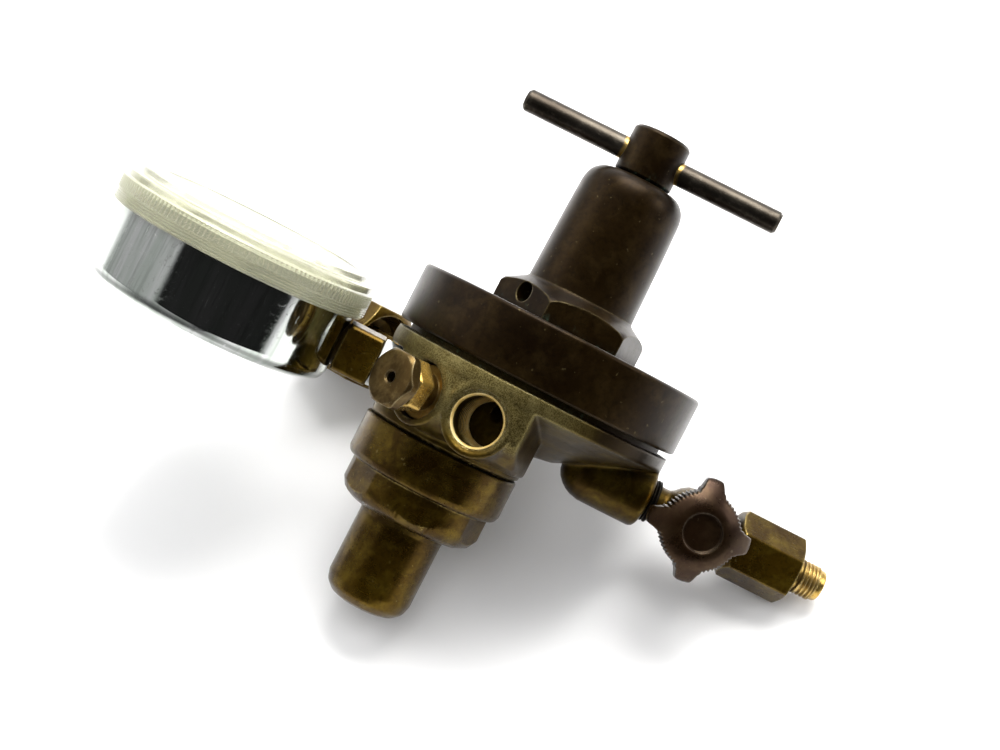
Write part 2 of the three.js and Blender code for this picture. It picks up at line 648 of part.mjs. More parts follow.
function buildGauge() {
  const { goldBrass } = MATERIALS;
  const tilt = matrix().makeRotationX(radians(GAUGE_TILT));
  const gauge = group(move(GAUGE_X, 0, 0).multiply(tilt));
  add("gauge_case", gaugeCaseSolid(), MATERIALS.chrome, gauge);
  add("gauge_lens", gaugeLensSolid(), MATERIALS.lens, gauge);
  add("gauge_dial", tube(2.2, 31.5, 12.1, 12.7, LARGE), MATERIALS.dial, gauge);
  add("gauge_socket", gaugeSocketSolid(), MATERIALS.socketBrass, gauge);
  add("thread_tape", tube(6.32, 6.75, 44.9, 55.5, SMALL, alongX), MATERIALS.tape, gauge);
  add("bourdon_tube", swept(3.6, 1.2, 8, 18, new BourdonArc()), goldBrass, gauge);
  add("movement_frame", movementFrameSolid(), goldBrass, gauge);
  const arbor = group(move(QUADRANT_X, 0, 0), gauge);
  add("movement_quadrant", quadrantSolid(), goldBrass, arbor);
  const shaft = [
    [0, -6.3], [0.9, -6.3], [0.9, -1.6], [PINION_R, -1.6], [PINION_R, 1.6], [0.9, 1.6],
    [0.9, 14.6], [0, 14.6],
  ];
  add("pointer_shaft", turned(shaft, SMALL), MATERIALS.steel, gauge);
  add("gauge_pointer", pointerSolid(), MATERIALS.pointer, group(spinZ(POINTER_REST), gauge));
}

// ---------------------------------------------------------------- needle valve and outlet
const stemFrame = move(VALVE_X, 0, 0).multiply(alongFront);

// taper thread, neck, bulb and outlet spigot along X, with the stem boss toward -Y
function valveBodySolid() {
  const profile = [
    [0, 28], [5.4, 28], [6, 31], [6, 43.4], [5, 43.7], [4.9, 46], [6.4, 48], [8.4, 50.4],
    [8.6, VALVE_X], [8.4, 56], [7.6, 59], [7.6, ADAPTER_START - 1.2],
    [6, ADAPTER_START - 0.9], [6, 75], [0, 75],
  ];
  const stemBore = [[0, -1.9], [1.2, -1.9], [1.6, 2], [3.4, 2.4], [3.4, 30], [0, 30]];
  return cut(
    turned(profile, SMALL, alongX).add(rod(6.9, 0, 11.4, SMALL, stemFrame)),
    // wide bores from both ends, and the narrow one that joins them
    rod(2.6, 20, VALVE_X - 4.2, SMALL, alongX),
    rod(2.6, VALVE_X + 1.9, 90, SMALL, alongX),
    rod(1.3, VALVE_X - 5, VALVE_X + 2.6, TINY, alongX),
    turned(stemBore, MID, stemFrame),
  );
}
function packingNutSolid() {
  const envelope = [[0, 11.7], [6.7, 11.7], [7.1, 12.3], [7.1, 15.6], [6.2, 16.4], [0, 16.4]];
  const nut = hexRod(12.7, 11.7, 16.4, 30).intersect(turned(envelope, MID));
  return cut(nut, rod(2.75, 0, 30, FINE));
}
// four-lobed handwheel
function handwheelSolid() {
  const outline = Array.from({ length: 60 }, (_, i) => {
    const degrees = 6 * i;
    const fromLobe = Math.abs(((degrees + 45) % 90) - 45);
    const lobe = 1 - smoothstep(fromLobe, LOBE_FLAT, LOBE_FOOT);
    const radius = KNOB_VALLEY_R + (KNOB_R - KNOB_VALLEY_R) * lobe;
    const angle = radians(degrees + KNOB_TURN);
    return [radius * Math.cos(angle), radius * Math.sin(angle)];
  });
  const envelope = [
    [0, KNOB_BOTTOM], [13.4, KNOB_BOTTOM], [14.4, KNOB_BOTTOM + 1], [14.4, 22.6],
    [12.6, 24], [9, 25.6], [6, 26.4], [0, 26.8],
  ];
  return cut(
    extruded(outline, KNOB_BOTTOM, 27).intersect(turned(envelope, MID)),
    rod(5.3, 25.6, 30, MID),
    rod(2.2, 10, 24.9, FINE),
  );
}
function outletAdapterSolid() {
  const start = ADAPTER_START;
  const end = ADAPTER_END;
  const envelope = [
    [0, start], [8.9, start], [10.2, start + 1.4], [10.2, end - 2.1], [8.4, end], [0, end],
  ];
  const bore = [
    [0, 60], [6.35, 60], [6.35, 75.6], [2.6, 75.6], [2.6, 77], [4.35, 77], [4.35, 90], [0, 90],
  ];
  const hex = hexRod(ADAPTER_AF, start, end, 90 + 5);
  return cut(hex.intersect(turned(envelope, LARGE)), turned(bore, SMALL));
}

function buildOutlet() {
  const { steel, goldBrass, oliveBrass } = MATERIALS;
  const outlet = group(alongX);
  add("needle_valve_body", valveBodySolid(), oliveBrass);
  const stem = group(stemFrame);
  const needle = [[0, -1], [0.5, -1], [1.1, 3], [2.9, 3.2], [2.9, 6.2], [0, 6.2]];
  add("valve_needle", turned(needle, FINE), steel, stem);
  add("packing_nut", packingNutSolid(), goldBrass, stem);
  const spindle = [[0, 6.6], [2.5, 6.6], [2.5, 18], [1.9, 18], [1.9, 24.6], [0, 24.6]];
  add("valve_stem", turned(spindle, FINE), steel, stem);
  add("handwheel", handwheelSolid(), MATERIALS.handwheel, stem);
  add("outlet_adapter", outletAdapterSolid(), oliveBrass, outlet);
  const nipple = [
    [2.3, 77.6], [4.05, 77.6], [4.05, 88.2], [4.9, 88.6], [4.9, 93], [4.4, 93.2],
    [4.4, 94.9], [4, OUTLET_END], [2.9, OUTLET_END], [2.3, 94],
  ];
  add("outlet_nipple", turnedRing(nipple, MID), goldBrass, outlet);
}

// ---------------------------------------------------------------- inlet
function inletNippleSolid() {
  const seat = PORTS.inlet.face + GAP;
  const back = INLET_SHOULDER;
  const profile = [
    [2, 26], [5.6, 26], [6, 30], [6, seat], [7.4, seat], [7.4, seat + 3.2],
    [5.2, seat + 3.9], [5.2, back - 1.4], [INLET_FLANGE_R, back],
    [INLET_FLANGE_R, back + 4.6], [6.4, back + 4.6], [6.4, back + 5.8], [5, back + 5.8],
    [5, back + 1.6], [2, back - 0.4],
  ];
  return turnedRing(profile, MID);
}
function inletNutSolid() {
  const hexEnvelope = [
    [0, NUT_REAR], [11.5, NUT_REAR], [13.4, NUT_REAR + 1.2], [13.4, NUT_HEX_END - 1.2],
    [NUT_SLEEVE_R, NUT_HEX_END], [0, NUT_HEX_END],
  ];
  const sleeve = [
    [0, NUT_HEX_END - 3], [NUT_SLEEVE_R, NUT_HEX_END - 3], [NUT_SLEEVE_R, NUT_END - 0.7],
    [10.9, NUT_END], [0, NUT_END],
  ];
  const bore = [
    [0, 40], [10.5, 40], [10.5, NUT_REAR + 2.2], [8.2, NUT_REAR + 5.4],
    [5.6, NUT_REAR + 6.4], [5.6, INLET_SHOULDER - 2.2], [10.2, INLET_SHOULDER - 0.3],
    [10.2, NUT_END + 4], [0, NUT_END + 4],
  ];
  const hex = hexRod(NUT_AF, NUT_REAR, NUT_HEX_END, 6).intersect(turned(hexEnvelope, LARGE));
  return cut(hex.add(turned(sleeve, LARGE)), turned(bore, MID));
}

function buildInlet() {
  const inlet = group(portFrame(PORTS.inlet));
  const back = INLET_SHOULDER;
  add("inlet_nipple", inletNippleSolid(), MATERIALS.goldBrass, inlet);
  const filter = [[0, back + 2.2], [4.6, back + 2.2], [4.6, back + 4.4], [0, back + 5.2]];
  add("inlet_filter", turned(filter, MID), MATERIALS.sintered, inlet);
  const washer = tube(6.8, INLET_FLANGE_R, back + 4.9, back + 7.1, MID);
  add("inlet_washer", washer, MATERIALS.washer, inlet);
  add("inlet_nut", inletNutSolid(), MATERIALS.nutBrass, inlet);
}

// ---------------------------------------------------------------- assembly
add("body", bodySolid(), MATERIALS.oliveBrass);
buildSecondStage();
buildFirstStage();
buildReliefValve();
buildGauge();
buildOutlet();
buildInlet();

const regulator = new THREE.Group();
part.position.set(-LOWER_X, 0, -DOME_BOTTOM);
regulator.add(part);

export default regulator;
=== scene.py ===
"""Two-stage gas pressure regulator with one gauge and a needle valve.

Shapes are in millimetres about a datum: the main axis (Z) crossing the height of the outlet.
The bonnet and its tee screw rise along +Z and the first-stage cap hangs along -Z. The needle
valve and outlet run along +X, with the handwheel towards -Y. The gauge is on the -X side,
facing +Z, and the inlet points between -X and +Y. BASE turns all of it into metres.
"""
import json
from itertools import product
from math import acos, atan2, ceil, cos, degrees, hypot, pi, radians, sin, sqrt, tan

import bmesh
import bpy
import numpy as np
from mathutils import Matrix, Vector

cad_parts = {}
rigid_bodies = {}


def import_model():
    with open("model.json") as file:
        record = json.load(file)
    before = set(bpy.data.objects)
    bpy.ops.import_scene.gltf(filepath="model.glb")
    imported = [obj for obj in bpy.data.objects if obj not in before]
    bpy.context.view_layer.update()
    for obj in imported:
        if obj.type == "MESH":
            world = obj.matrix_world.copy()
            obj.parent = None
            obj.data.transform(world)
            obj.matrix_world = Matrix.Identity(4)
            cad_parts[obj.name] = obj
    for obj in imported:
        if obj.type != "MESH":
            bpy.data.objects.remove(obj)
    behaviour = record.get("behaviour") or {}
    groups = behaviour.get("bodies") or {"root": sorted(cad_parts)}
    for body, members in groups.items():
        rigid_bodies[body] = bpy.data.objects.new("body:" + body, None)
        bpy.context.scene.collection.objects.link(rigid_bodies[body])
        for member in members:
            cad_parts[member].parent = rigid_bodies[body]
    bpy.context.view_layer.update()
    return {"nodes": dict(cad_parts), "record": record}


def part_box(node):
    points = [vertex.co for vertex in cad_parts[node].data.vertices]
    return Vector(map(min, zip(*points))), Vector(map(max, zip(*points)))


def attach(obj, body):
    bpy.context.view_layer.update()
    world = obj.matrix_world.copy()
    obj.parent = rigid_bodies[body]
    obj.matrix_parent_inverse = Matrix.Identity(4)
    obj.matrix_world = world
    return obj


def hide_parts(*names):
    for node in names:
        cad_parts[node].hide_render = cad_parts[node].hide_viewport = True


for old in list(bpy.data.objects):
    bpy.data.objects.remove(old)
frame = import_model()


# ------------------------------------------------------------------ datum and frames
def middle(node, axis):
    """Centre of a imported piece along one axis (0 x, 1 y, 2 z), in mm."""
    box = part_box(node)
    return (box[0][axis] + box[1][axis]) / 2 * 1000


DATUM = (middle("bonnet", 0), middle("bonnet", 1), middle("outlet_nipple", 2))
# X of the other upright and cross axes, from the main axis
LOW_X = middle("first_stage_cap", 0) - DATUM[0]
VALVE_X = middle("valve_stem", 0) - DATUM[0]
GAUGE_X = middle("gauge_lens", 0) - DATUM[0]

# degrees; port turns are measured from -Y towards -X
GAUGE_TILT = 3.2
BAR_TURN = 10.8
HEX_TURN = 6
SPARE_TURN = 19.5
RELIEF_TURN = 47
GAUGE_TURN = 90
INLET_TURN = 135
INLET_RISE = 1.35

BASE = Matrix.Scale(0.001, 4) @ Matrix.Translation(DATUM)


def move(x, y, z):
    return Matrix.Translation((x, y, z))


def spin_x(turn):
    return Matrix.Rotation(radians(turn), 4, "X")


def spin_z(turn):
    return Matrix.Rotation(radians(turn), 4, "Z")


def axes_matrix(x, y, z):
    return Matrix((x, y, z)).transposed().to_4x4()


def outward(turn):
    """Level direction: 0 degrees is -Y, 90 is -X."""
    return Vector((-sin(radians(turn)), -cos(radians(turn)), 0))


def radial(turn):
    """Frame whose Z runs outward and whose X points up."""
    z = outward(turn)
    x = Vector((0, 0, 1))
    return axes_matrix(x, z.cross(x), z)


ALONG_X = radial(-90)
LOW = move(LOW_X, 0, 0)
STEM = move(VALVE_X, 0, 0) @ spin_x(90)  # its Z points to -Y
GAUGE = move(GAUGE_X, 0, 0) @ spin_x(GAUGE_TILT)
SOCKET = GAUGE @ ALONG_X
SPARE = radial(SPARE_TURN)
RELIEF = radial(RELIEF_TURN)
INLET = move(0, 0, INLET_RISE) @ radial(INLET_TURN)


# ------------------------------------------------------------------ outlines
def read_at(table, x):
    """Linear reading of a table of pairs."""
    return np.interp(x, *zip(*sorted(table)))


def smoothstep(t):
    t = max(0.0, min(1.0, t))
    return t * t * (3 - 2 * t)


def rounded(corners, seg):
    """(radius, z[, fillet]) corners to a polyline, each fillet an arc of seg steps."""
    out = []
    for i, corner in enumerate(corners):
        if len(corner) < 3:
            out.append(corner)
            continue
        at = Vector(corner[:2])
        back = Vector(corners[i - 1][:2]) - at
        ahead = Vector(corners[i + 1][:2]) - at
        back_length, ahead_length = back.length, ahead.length
        back.normalize()
        ahead.normalize()
        half = acos(back.dot(ahead)) / 2
        reach = min(corner[2] / tan(half), back_length * 0.48, ahead_length * 0.48)
        radius = reach * tan(half)
        start, end = at + back * reach, at + ahead * reach
        centre = at + (back + ahead).normalized() * (radius / sin(half))
        first = atan2(start.y - centre.y, start.x - centre.x)
        last = atan2(end.y - centre.y, end.x - centre.x)
        sweep = (last - first + pi) % (2 * pi) - pi
        for k in range(seg + 1):
            angle = first + sweep * k / seg
            out.append((centre.x + radius * cos(angle), centre.y + radius * sin(angle)))
    return out


def densify(line, step):
    """Splits spans longer than step."""
    out = [line[0]]
    for end in line[1:]:
        start = out[-1]
        count = max(1, ceil(hypot(end[0] - start[0], end[1] - start[1]) / step))
        for k in range(1, count + 1):
            out.append(tuple(start[i] + (end[i] - start[i]) * k / count for i in (0, 1)))
    return out


def hex_radius(angle, flats, turn):
    """Radius of a hexagon; turn is the direction of its first face, in degrees."""
    off = (angle - radians(turn)) % (pi / 3)
    if off > pi / 6:
        off -= pi / 3
    return flats / 2 / cos(off)


def hex_outline(angle, flats, turn, low, high, steps):
    """Outline of a chamfered hexagon at one angle.

    low and high are the (radius, z) chamfer lines; steps counts the spans on the low
    chamfer, the face and the high chamfer.
    """
    edge = min(hex_radius(angle, flats, turn), low[-1][0], high[0][0])
    out = [(rim, read_at(low, rim)) for rim in np.linspace(low[0][0], edge, steps[0] + 1)]
    face = np.linspace(read_at(low, edge), read_at(high, edge), steps[1] + 1)
    out += [(edge, z) for z in face[1:]]
    rims = np.linspace(edge, high[-1][0], steps[2] + 1)
    return out + [(rim, read_at(high, rim)) for rim in rims[1:]]


def thread(base, depth, pitch, z0, z1, runout, taper=0.0, per=8):
    """Function of the angle giving the (radius, z) rows of a threaded length.

    A negative depth stands out from base; per is the number of rows to a pitch.
    """
    count = int(round((z1 - z0) / pitch * per))

    def rows(angle):
        out = []
        for k in range(count + 1):
            z = z0 + (z1 - z0) * k / count
            crest = abs(2 * ((z / pitch - angle / (2 * pi)) % 1.0) - 1)
            crest = smoothstep((crest - 0.12) / 0.76)
            fade = smoothstep(min((z - z0) / runout, (z1 - z) / runout))
            out.append((base - taper * (z - z0) - depth * (1 - crest) * fade, z))
        return out

    return rows


# ------------------------------------------------------------------ geometry: (verts, faces)
def revolve(profile, count, warp=None):
    """Turns (radius, z) points about Z.

    profile is a list, or a function of the angle that gives one; warp(angle, radius, z)
    moves each point.
    """
    verts = []
    for i in range(count):
        angle = 2 * pi * i / count
        row = profile(angle) if callable(profile) else profile
        if warp:
            row = [warp(angle, *point) for point in row]
        verts += [(radius * cos(angle), radius * sin(angle), z) for radius, z in row]
    size = len(row)
    # points on the axis at one height become one point
    first = {}
    remap = [
        first.setdefault(round(v[2], 5), i) if abs(v[0]) < 1e-7 and abs(v[1]) < 1e-7 else i
        for i, v in enumerate(verts)
    ]
    faces = []
    for i in range(count):
        j = (i + 1) % count
        for k in range(size - 1):
            face = []
            for corner in (i * size + k, j * size + k, j * size + k + 1, i * size + k + 1):
                corner = remap[corner]
                if not face or face[-1] != corner:
                    face.append(corner)
            if len(face) > 1 and face[0] == face[-1]:
                face.pop()
            if len(face) >= 3:
                faces.append(face)
    return verts, faces


def cylinder(radius, z0, z1, count):
    return revolve([(0, z0), (radius, z0), (radius, z1), (0, z1)], count)


def box(low, high, bevel=0.0):
    work = bmesh.new()
    bmesh.ops.create_cube(work, size=1)
    for vert in work.verts:
        for i in range(3):
            vert.co[i] = low[i] + (vert.co[i] + 0.5) * (high[i] - low[i])
    if bevel > 0:
        bmesh.ops.bevel(
            work, geom=work.edges[:], offset=bevel, segments=3, profile=0.5, affect="EDGES"
        )
    work.verts.index_update()
    verts = [tuple(vert.co) for vert in work.verts]
    faces = [[vert.index for vert in face.verts] for face in work.faces]
    work.free()
    return verts, faces


def join(*parts):
    all_verts, all_faces = [], []
    for verts, faces in parts:
        offset = len(all_verts)
        all_verts += verts
        all_faces += [[i + offset for i in face] for face in faces]
    return all_verts, all_faces


def placed(geo, place):
    verts, faces = geo
    return [tuple(place @ Vector(vert)) for vert in verts], faces


# ------------------------------------------------------------------ distance fields
def surface_nets(distance, low, high, step):
    """Zero surface of distance(points), points being an (N, 3) array."""
    grid = [low[i] + step * np.arange(ceil((high[i] - low[i]) / step) + 1) for i in range(3)]
    flat_y, flat_z = (side.ravel() for side in np.meshgrid(grid[1], grid[2], indexing="ij"))
    shape = [len(line) for line in grid]
    field = np.empty(shape, np.float32)
    for i, x in enumerate(grid[0]):
        points = np.stack([np.full(flat_y.size, x), flat_y, flat_z], 1)
        field[i] = distance(points).reshape(shape[1:])
    inside = field < 0

    # cells with corners on both sides
    corners = list(product((0, 1), repeat=3))
    total = np.zeros([size - 1 for size in shape], np.int8)
    for corner in corners:
        total += inside[tuple(slice(a, size - 1 + a) for a, size in zip(corner, shape))]
    cells = np.argwhere((total > 0) & (total < 8))
    index = np.full(total.shape, -1, np.int64)
    index[tuple(cells.T)] = np.arange(len(cells))

    # one vertex in each, at the mean of its edge crossings
    crossings = np.zeros((len(cells), 3))
    hits = np.zeros(len(cells))
    for corner in corners:
        for axis in range(3):
            if corner[axis] == 1:
                continue
            other = list(corner)
            other[axis] = 1
            start = field[tuple((cells + corner).T)]
            end = field[tuple((cells + other).T)]
            cross = (start < 0) != (end < 0)
            part = np.where(cross, start / np.where(cross, start - end, 1), 0)
            spot = np.array(corner, float)[None, :].repeat(len(cells), 0)
            spot[:, axis] += part
            crossings[cross] += spot[cross]
            hits[cross] += 1
    verts = (cells + crossings / hits[:, None]) * step + np.array(low)

    # pull onto the surface
    nudge = step * 0.2
    for _ in range(2):
        here = distance(verts)
        slope = np.stack(
            [(distance(verts + e) - distance(verts - e)) / (2 * nudge) for e in np.eye(3) * nudge],
            1,
        )
        steepness = np.maximum((slope * slope).sum(1), 0.25)
        shift = (here / steepness)[:, None] * slope
        length = np.linalg.norm(shift, axis=1, keepdims=True)
        shift *= np.minimum(1, 0.5 * step / np.maximum(length, 1e-9))
        verts = verts - shift

    # one quad round each grid edge that crosses
    quads = []
    for axis in range(3):
        one, two = [(1, 2), (2, 0), (0, 1)][axis]
        edges = np.argwhere(np.diff(inside, axis=axis))
        keep = (edges[:, one] > 0) & (edges[:, two] > 0)
        keep &= (edges[:, one] < index.shape[one]) & (edges[:, two] < index.shape[two])
        edges = edges[keep]
        ring = []
        for step_one, step_two in ((0, 0), (-1, 0), (-1, -1), (0, -1)):
            cell = edges.copy()
            cell[:, one] += step_one
            cell[:, two] += step_two
            ring.append(index[tuple(cell.T)])
        ring = np.stack(ring, 1)
        quads.append(np.where(inside[tuple(edges.T)][:, None], ring[:, ::-1], ring))
    return verts, np.concatenate(quads)


def soft_min(a, b, blend):
    part = np.clip(0.5 + 0.5 * (b - a) / blend, 0, 1)
    return b * (1 - part) + a * part - blend * part * (1 - part)


def soft_max(a, b, blend):
    return -soft_min(-a, -b, blend)


def carve(dist, tool, blend):
    return soft_max(dist, -tool, blend)


def rod(points, radius, z0, z1, edge=0.0):
    """Capped cylinder about Z with rounded rims."""
    side = np.hypot(points[:, 0], points[:, 1]) - radius + edge
    cap = np.abs(points[:, 2] - (z0 + z1) / 2) - (z1 - z0) / 2 + edge
    outer = np.hypot(np.maximum(side, 0), np.maximum(cap, 0))
    return np.minimum(np.maximum(side, cap), 0) + outer - edge


def block(points, low, high, edge):
    """Box with rounded edges."""
    low, high = np.array(low), np.array(high)
    over = np.abs(points - (low + high) / 2) - ((high - low) / 2 - edge)
    return np.linalg.norm(np.maximum(over, 0), axis=1) + np.minimum(over.max(1), 0) - edge


def drill(points, start, end, radius):
    """Round-ended passage between two points."""
    start, end = np.array(start, float), np.array(end, float)
    line = end - start
    part = np.clip(((points - start) @ line) / (line @ line), 0, 1)
    return np.linalg.norm(points - start - part[:, None] * line, axis=1) - radius


def local(points, place):
    inverse = np.array(place.inverted())
    return points @ inverse[:3, :3].T + inverse[:3, 3]


# ------------------------------------------------------------------ node trees
class Nodes:
    """Builds a node tree. Inputs take values, sockets, or a node for its first output."""

    def __init__(self, owner, output):
        owner.use_nodes = True
        self.owner = owner
        self.tree = owner.node_tree
        self.tree.nodes.clear()
        self.output = self.node(output)

    def put(self, socket, value):
        if isinstance(value, bpy.types.Node):
            value = value.outputs[0]
        if isinstance(value, bpy.types.NodeSocket):
            self.tree.links.new(value, socket)
        else:
            socket.default_value = (*value, 1) if socket.type == "RGBA" else value

    def node(self, kind, props={}, **inputs):
        """inputs are socket names with _ for a space."""
        made = self.tree.nodes.new("ShaderNode" + kind)
        for key, value in props.items():
            setattr(made, key, value)
        for key, value in inputs.items():
            self.put(made.inputs[key.replace("_", " ")], value)
        return made

    def coord(self, kind="Object"):
        return self.node("TexCoord").outputs[kind]

    def math(self, operation, a, b=0.5, clamp=False):
        made = self.node("Math", {"operation": operation, "use_clamp": clamp})
        self.put(made.inputs[0], a)
        self.put(made.inputs[1], b)
        return made.outputs[0]

    def add(self, a, b, clamp=False):
        return self.math("ADD", a, b, clamp)

    def sub(self, a, b, clamp=False):
        return self.math("SUBTRACT", a, b, clamp)

    def mul(self, a, b, clamp=False):
        return self.math("MULTIPLY", a, b, clamp)

    def vector(self, operation, a, b=(0, 0, 0)):
        made = self.node("VectorMath", {"operation": operation})
        self.put(made.inputs[0], a)
        self.put(made.inputs[1], b)
        return made.outputs

    def remap(self, value, low, high, start=0.0, end=1.0, kind="LINEAR"):
        """low..high becomes start..end."""
        made = self.node("MapRange", {"interpolation_type": kind}, Value=value)
        for socket, number in zip(made.inputs[1:5], (low, high, start, end)):
            socket.default_value = number
        return made.outputs[0]

    def ramp(self, value, low, high, start=0, end=1):
        """Grey ramp: start up to low, end from high on."""
        made = self.node("ValToRGB", Fac=value)
        stops = ((low, start), (high, end))
        for element, (position, grey) in zip(made.color_ramp.elements, stops):
            element.position = position
            element.color = (grey, grey, grey, 1)
        return made.outputs[0]

    def mix(self, amount, a, b):
        made = self.node("Mix", {"data_type": "RGBA", "blend_type": "MIX"})
        for i, value in ((0, amount), (6, a), (7, b)):
            self.put(made.inputs[i], value)
        return made.outputs[2]

    def noise(self, scale, detail=4, rough=0.6, vec=None, dist=0.0):
        vec = vec or self.coord()
        made = self.node(
            "TexNoise", Scale=scale, Detail=detail, Roughness=rough, Distortion=dist, Vector=vec
        )
        return made.outputs[0]

    def streaks(self, place, scale, low, high, turn=(0, 0, 0), **noise):
        """Noise stretched by scale per axis and cut by a ramp from low to high."""
        made = self.node("Mapping", Vector=place, Scale=scale, Rotation=turn)
        return self.ramp(self.noise(1.0, vec=made.outputs[0], **noise), low, high)

    def soft_normal(self, radius):
        return self.node("Bevel", {"samples": 4}, Radius=radius).outputs[0]

    def edge(self, radius):
        """1 on convex and concave edges, from the rounded normal."""
        normal = self.node("NewGeometry").outputs["Normal"]
        dot = self.vector("DOT_PRODUCT", self.soft_normal(radius), normal)["Value"]
        return self.remap(self.sub(1.0, dot), 0.02, 0.25)

    def cavity(self, distance):
        """1 in crevices."""
        made = self.node("AmbientOcclusion", {"samples": 4}, Distance=distance)
        return self.remap(made.outputs["AO"], 0.25, 0.9, 1.0, 0.0)

    def bump(self, strength, height, distance=0.0001, **normal):
        return self.node("Bump", Strength=strength, Distance=distance, Height=height, **normal)

    def surface(self, shader):
        self.put(self.output.inputs[0], shader)

    def finish(self, **inputs):
        self.surface(self.node("BsdfPrincipled", **inputs))


FINISH = {}  # materials by name


def new_material(name):
    FINISH[name] = bpy.data.materials.new(name)
    return Nodes(FINISH[name], "OutputMaterial")


def dim(colour, factor):
    return [channel * factor for channel in colour]


def from_datum(mat, count):
    """The first count of x, y, z in mm from the datum."""
    parts = mat.node("SeparateXYZ", Vector=mat.coord()).outputs
    return [mat.sub(mat.mul(parts[i], 1000.0), DATUM[i]) for i in range(count)]


def length_of(mat, x, y):
    return mat.math("SQRT", mat.add(mat.mul(x, x), mat.mul(y, y)))


def gauge_offset(mat):
    """Vector from the gauge's origin, in metres."""
    return mat.vector("SUBTRACT", mat.coord(), (BASE @ GAUGE).translation)[0]


def along_gauge(mat, offset, axis):
    """Part of the offset along a gauge axis, in mm."""
    direction = (BASE @ GAUGE).to_3x3().col[axis].normalized()
    return mat.mul(mat.vector("DOT_PRODUCT", offset, direction)["Value"], 1000.0)


# ------------------------------------------------------------------ brass
BRASS_BEVEL = 0.0005


def brass_nodes(
    mat, deep, mid, light, rubbed, rough=(0.28, 0.5), cast=0.0, wear=0.7,
    green=0.0, dirt=0.8, patch=1.0, chips=0.0, streak=0.0,
):
    """Aged brass as (colour, roughness, height).

    deep, mid and light are the patina and rubbed the edge colour. rough is the roughness
    range; the rest are amounts: cast skin, edge wear, green in crevices, soiling and painted
    shade in crevices, light patches, chips and dark streaks.
    """
    place = mat.coord()
    medium = mat.noise(170, detail=6, rough=0.65, dist=0.4)
    fine = mat.noise(900)
    colour = mat.mix(mat.ramp(mat.noise(30, rough=0.55), 0.32, 0.68), deep, mid)
    colour = mat.mix(mat.mul(mat.ramp(medium, 0.45, 0.75), patch), colour, light)
    colour = mat.mix(mat.mul(mat.ramp(fine, 0.5, 0.75), 0.4), colour, deep)
    if streak > 0:
        dark = mat.streaks(place, (700, 90, 700), 0.5, 0.66, turn=(0.3, 0.2, 0.8), rough=0.7)
        colour = mat.mix(mat.mul(dark, streak), colour, dim(deep, 0.35))
    if cast > 0:
        speck = mat.noise(3200, detail=2, rough=0.5)
        glint = [min(1, channel * 1.6 + 0.01) for channel in light]
        colour = mat.mix(mat.mul(mat.ramp(speck, 0.42, 0.62), cast), colour, glint)
        pits = mat.ramp(speck, 0.30, 0.45, 1, 0)
        colour = mat.mix(mat.mul(pits, cast * 0.8), colour, dim(deep, 0.4))
    cavity = mat.cavity(0.0035)
    # soiling and painted shade: colour darkened in crevices by the ambient occlusion mask
    colour = mat.mix(mat.mul(cavity, dirt), colour, dim(deep, 0.25))
    if green > 0:
        bloom = mat.mul(mat.ramp(mat.noise(420, detail=5, rough=0.7), 0.56, 0.66), cavity)
        colour = mat.mix(mat.mul(bloom, green), colour, (0.12, 0.22, 0.16))
    edge = mat.edge(BRASS_BEVEL * 1.6)
    edge = mat.mul(edge, mat.ramp(mat.noise(300, rough=0.7), 0.32, 0.6, start=0.1))
    edge = mat.mul(edge, mat.sub(1.0, mat.mul(cavity, 0.9)))
    edge = mat.mul(edge, wear, clamp=True)
    if chips > 0:
        chipped = mat.ramp(mat.noise(650, detail=3, rough=0.5), 0.7, 0.73)
        edge = mat.math("MAXIMUM", edge, mat.mul(chipped, chips))
    colour = mat.mix(edge, colour, rubbed)

    scratch = mat.streaks(
        place, (260, 2600, 2600), 0.62, 0.72, turn=(0.4, 0.9, 0.3), detail=2, rough=0.5
    )
    gloss = mat.remap(mat.noise(120, detail=5, rough=0.7), 0.3, 0.7, *rough)
    gloss = mat.add(gloss, mat.mul(cavity, 0.25))
    gloss = mat.sub(gloss, mat.mul(edge, 0.1), clamp=True)
    gloss = mat.add(gloss, mat.mul(scratch, 0.12), clamp=True)

    height = mat.add(mat.mul(fine, 0.3), mat.mul(medium, 0.35))
    height = mat.add(height, mat.mul(scratch, 0.15))
    dents = mat.ramp(mat.noise(480, detail=3, rough=0.5), 0.68, 0.74)
    height = mat.sub(height, mat.mul(dents, 0.5))
    if cast > 0:
        height = mat.add(height, mat.mul(speck, cast * 1.2))
    return colour, gloss, height


def finish_brass(mat, colour, rough, height, strength, metallic, specular):
    normal = mat.bump(strength, height, distance=0.00012, Normal=mat.soft_normal(BRASS_BEVEL))
    mat.finish(
        Base_Color=colour, Metallic=metallic, Roughness=rough, Normal=normal,
        Specular_IOR_Level=specular,
    )


def brass(name, metallic=0.92, specular=0.5, grain=0.0, **look):
    """grain is added to the bump strength; look goes to brass_nodes."""
    mat = new_material(name)
    finish_brass(mat, *brass_nodes(mat, **look), 0.2 + grain, metallic, specular)


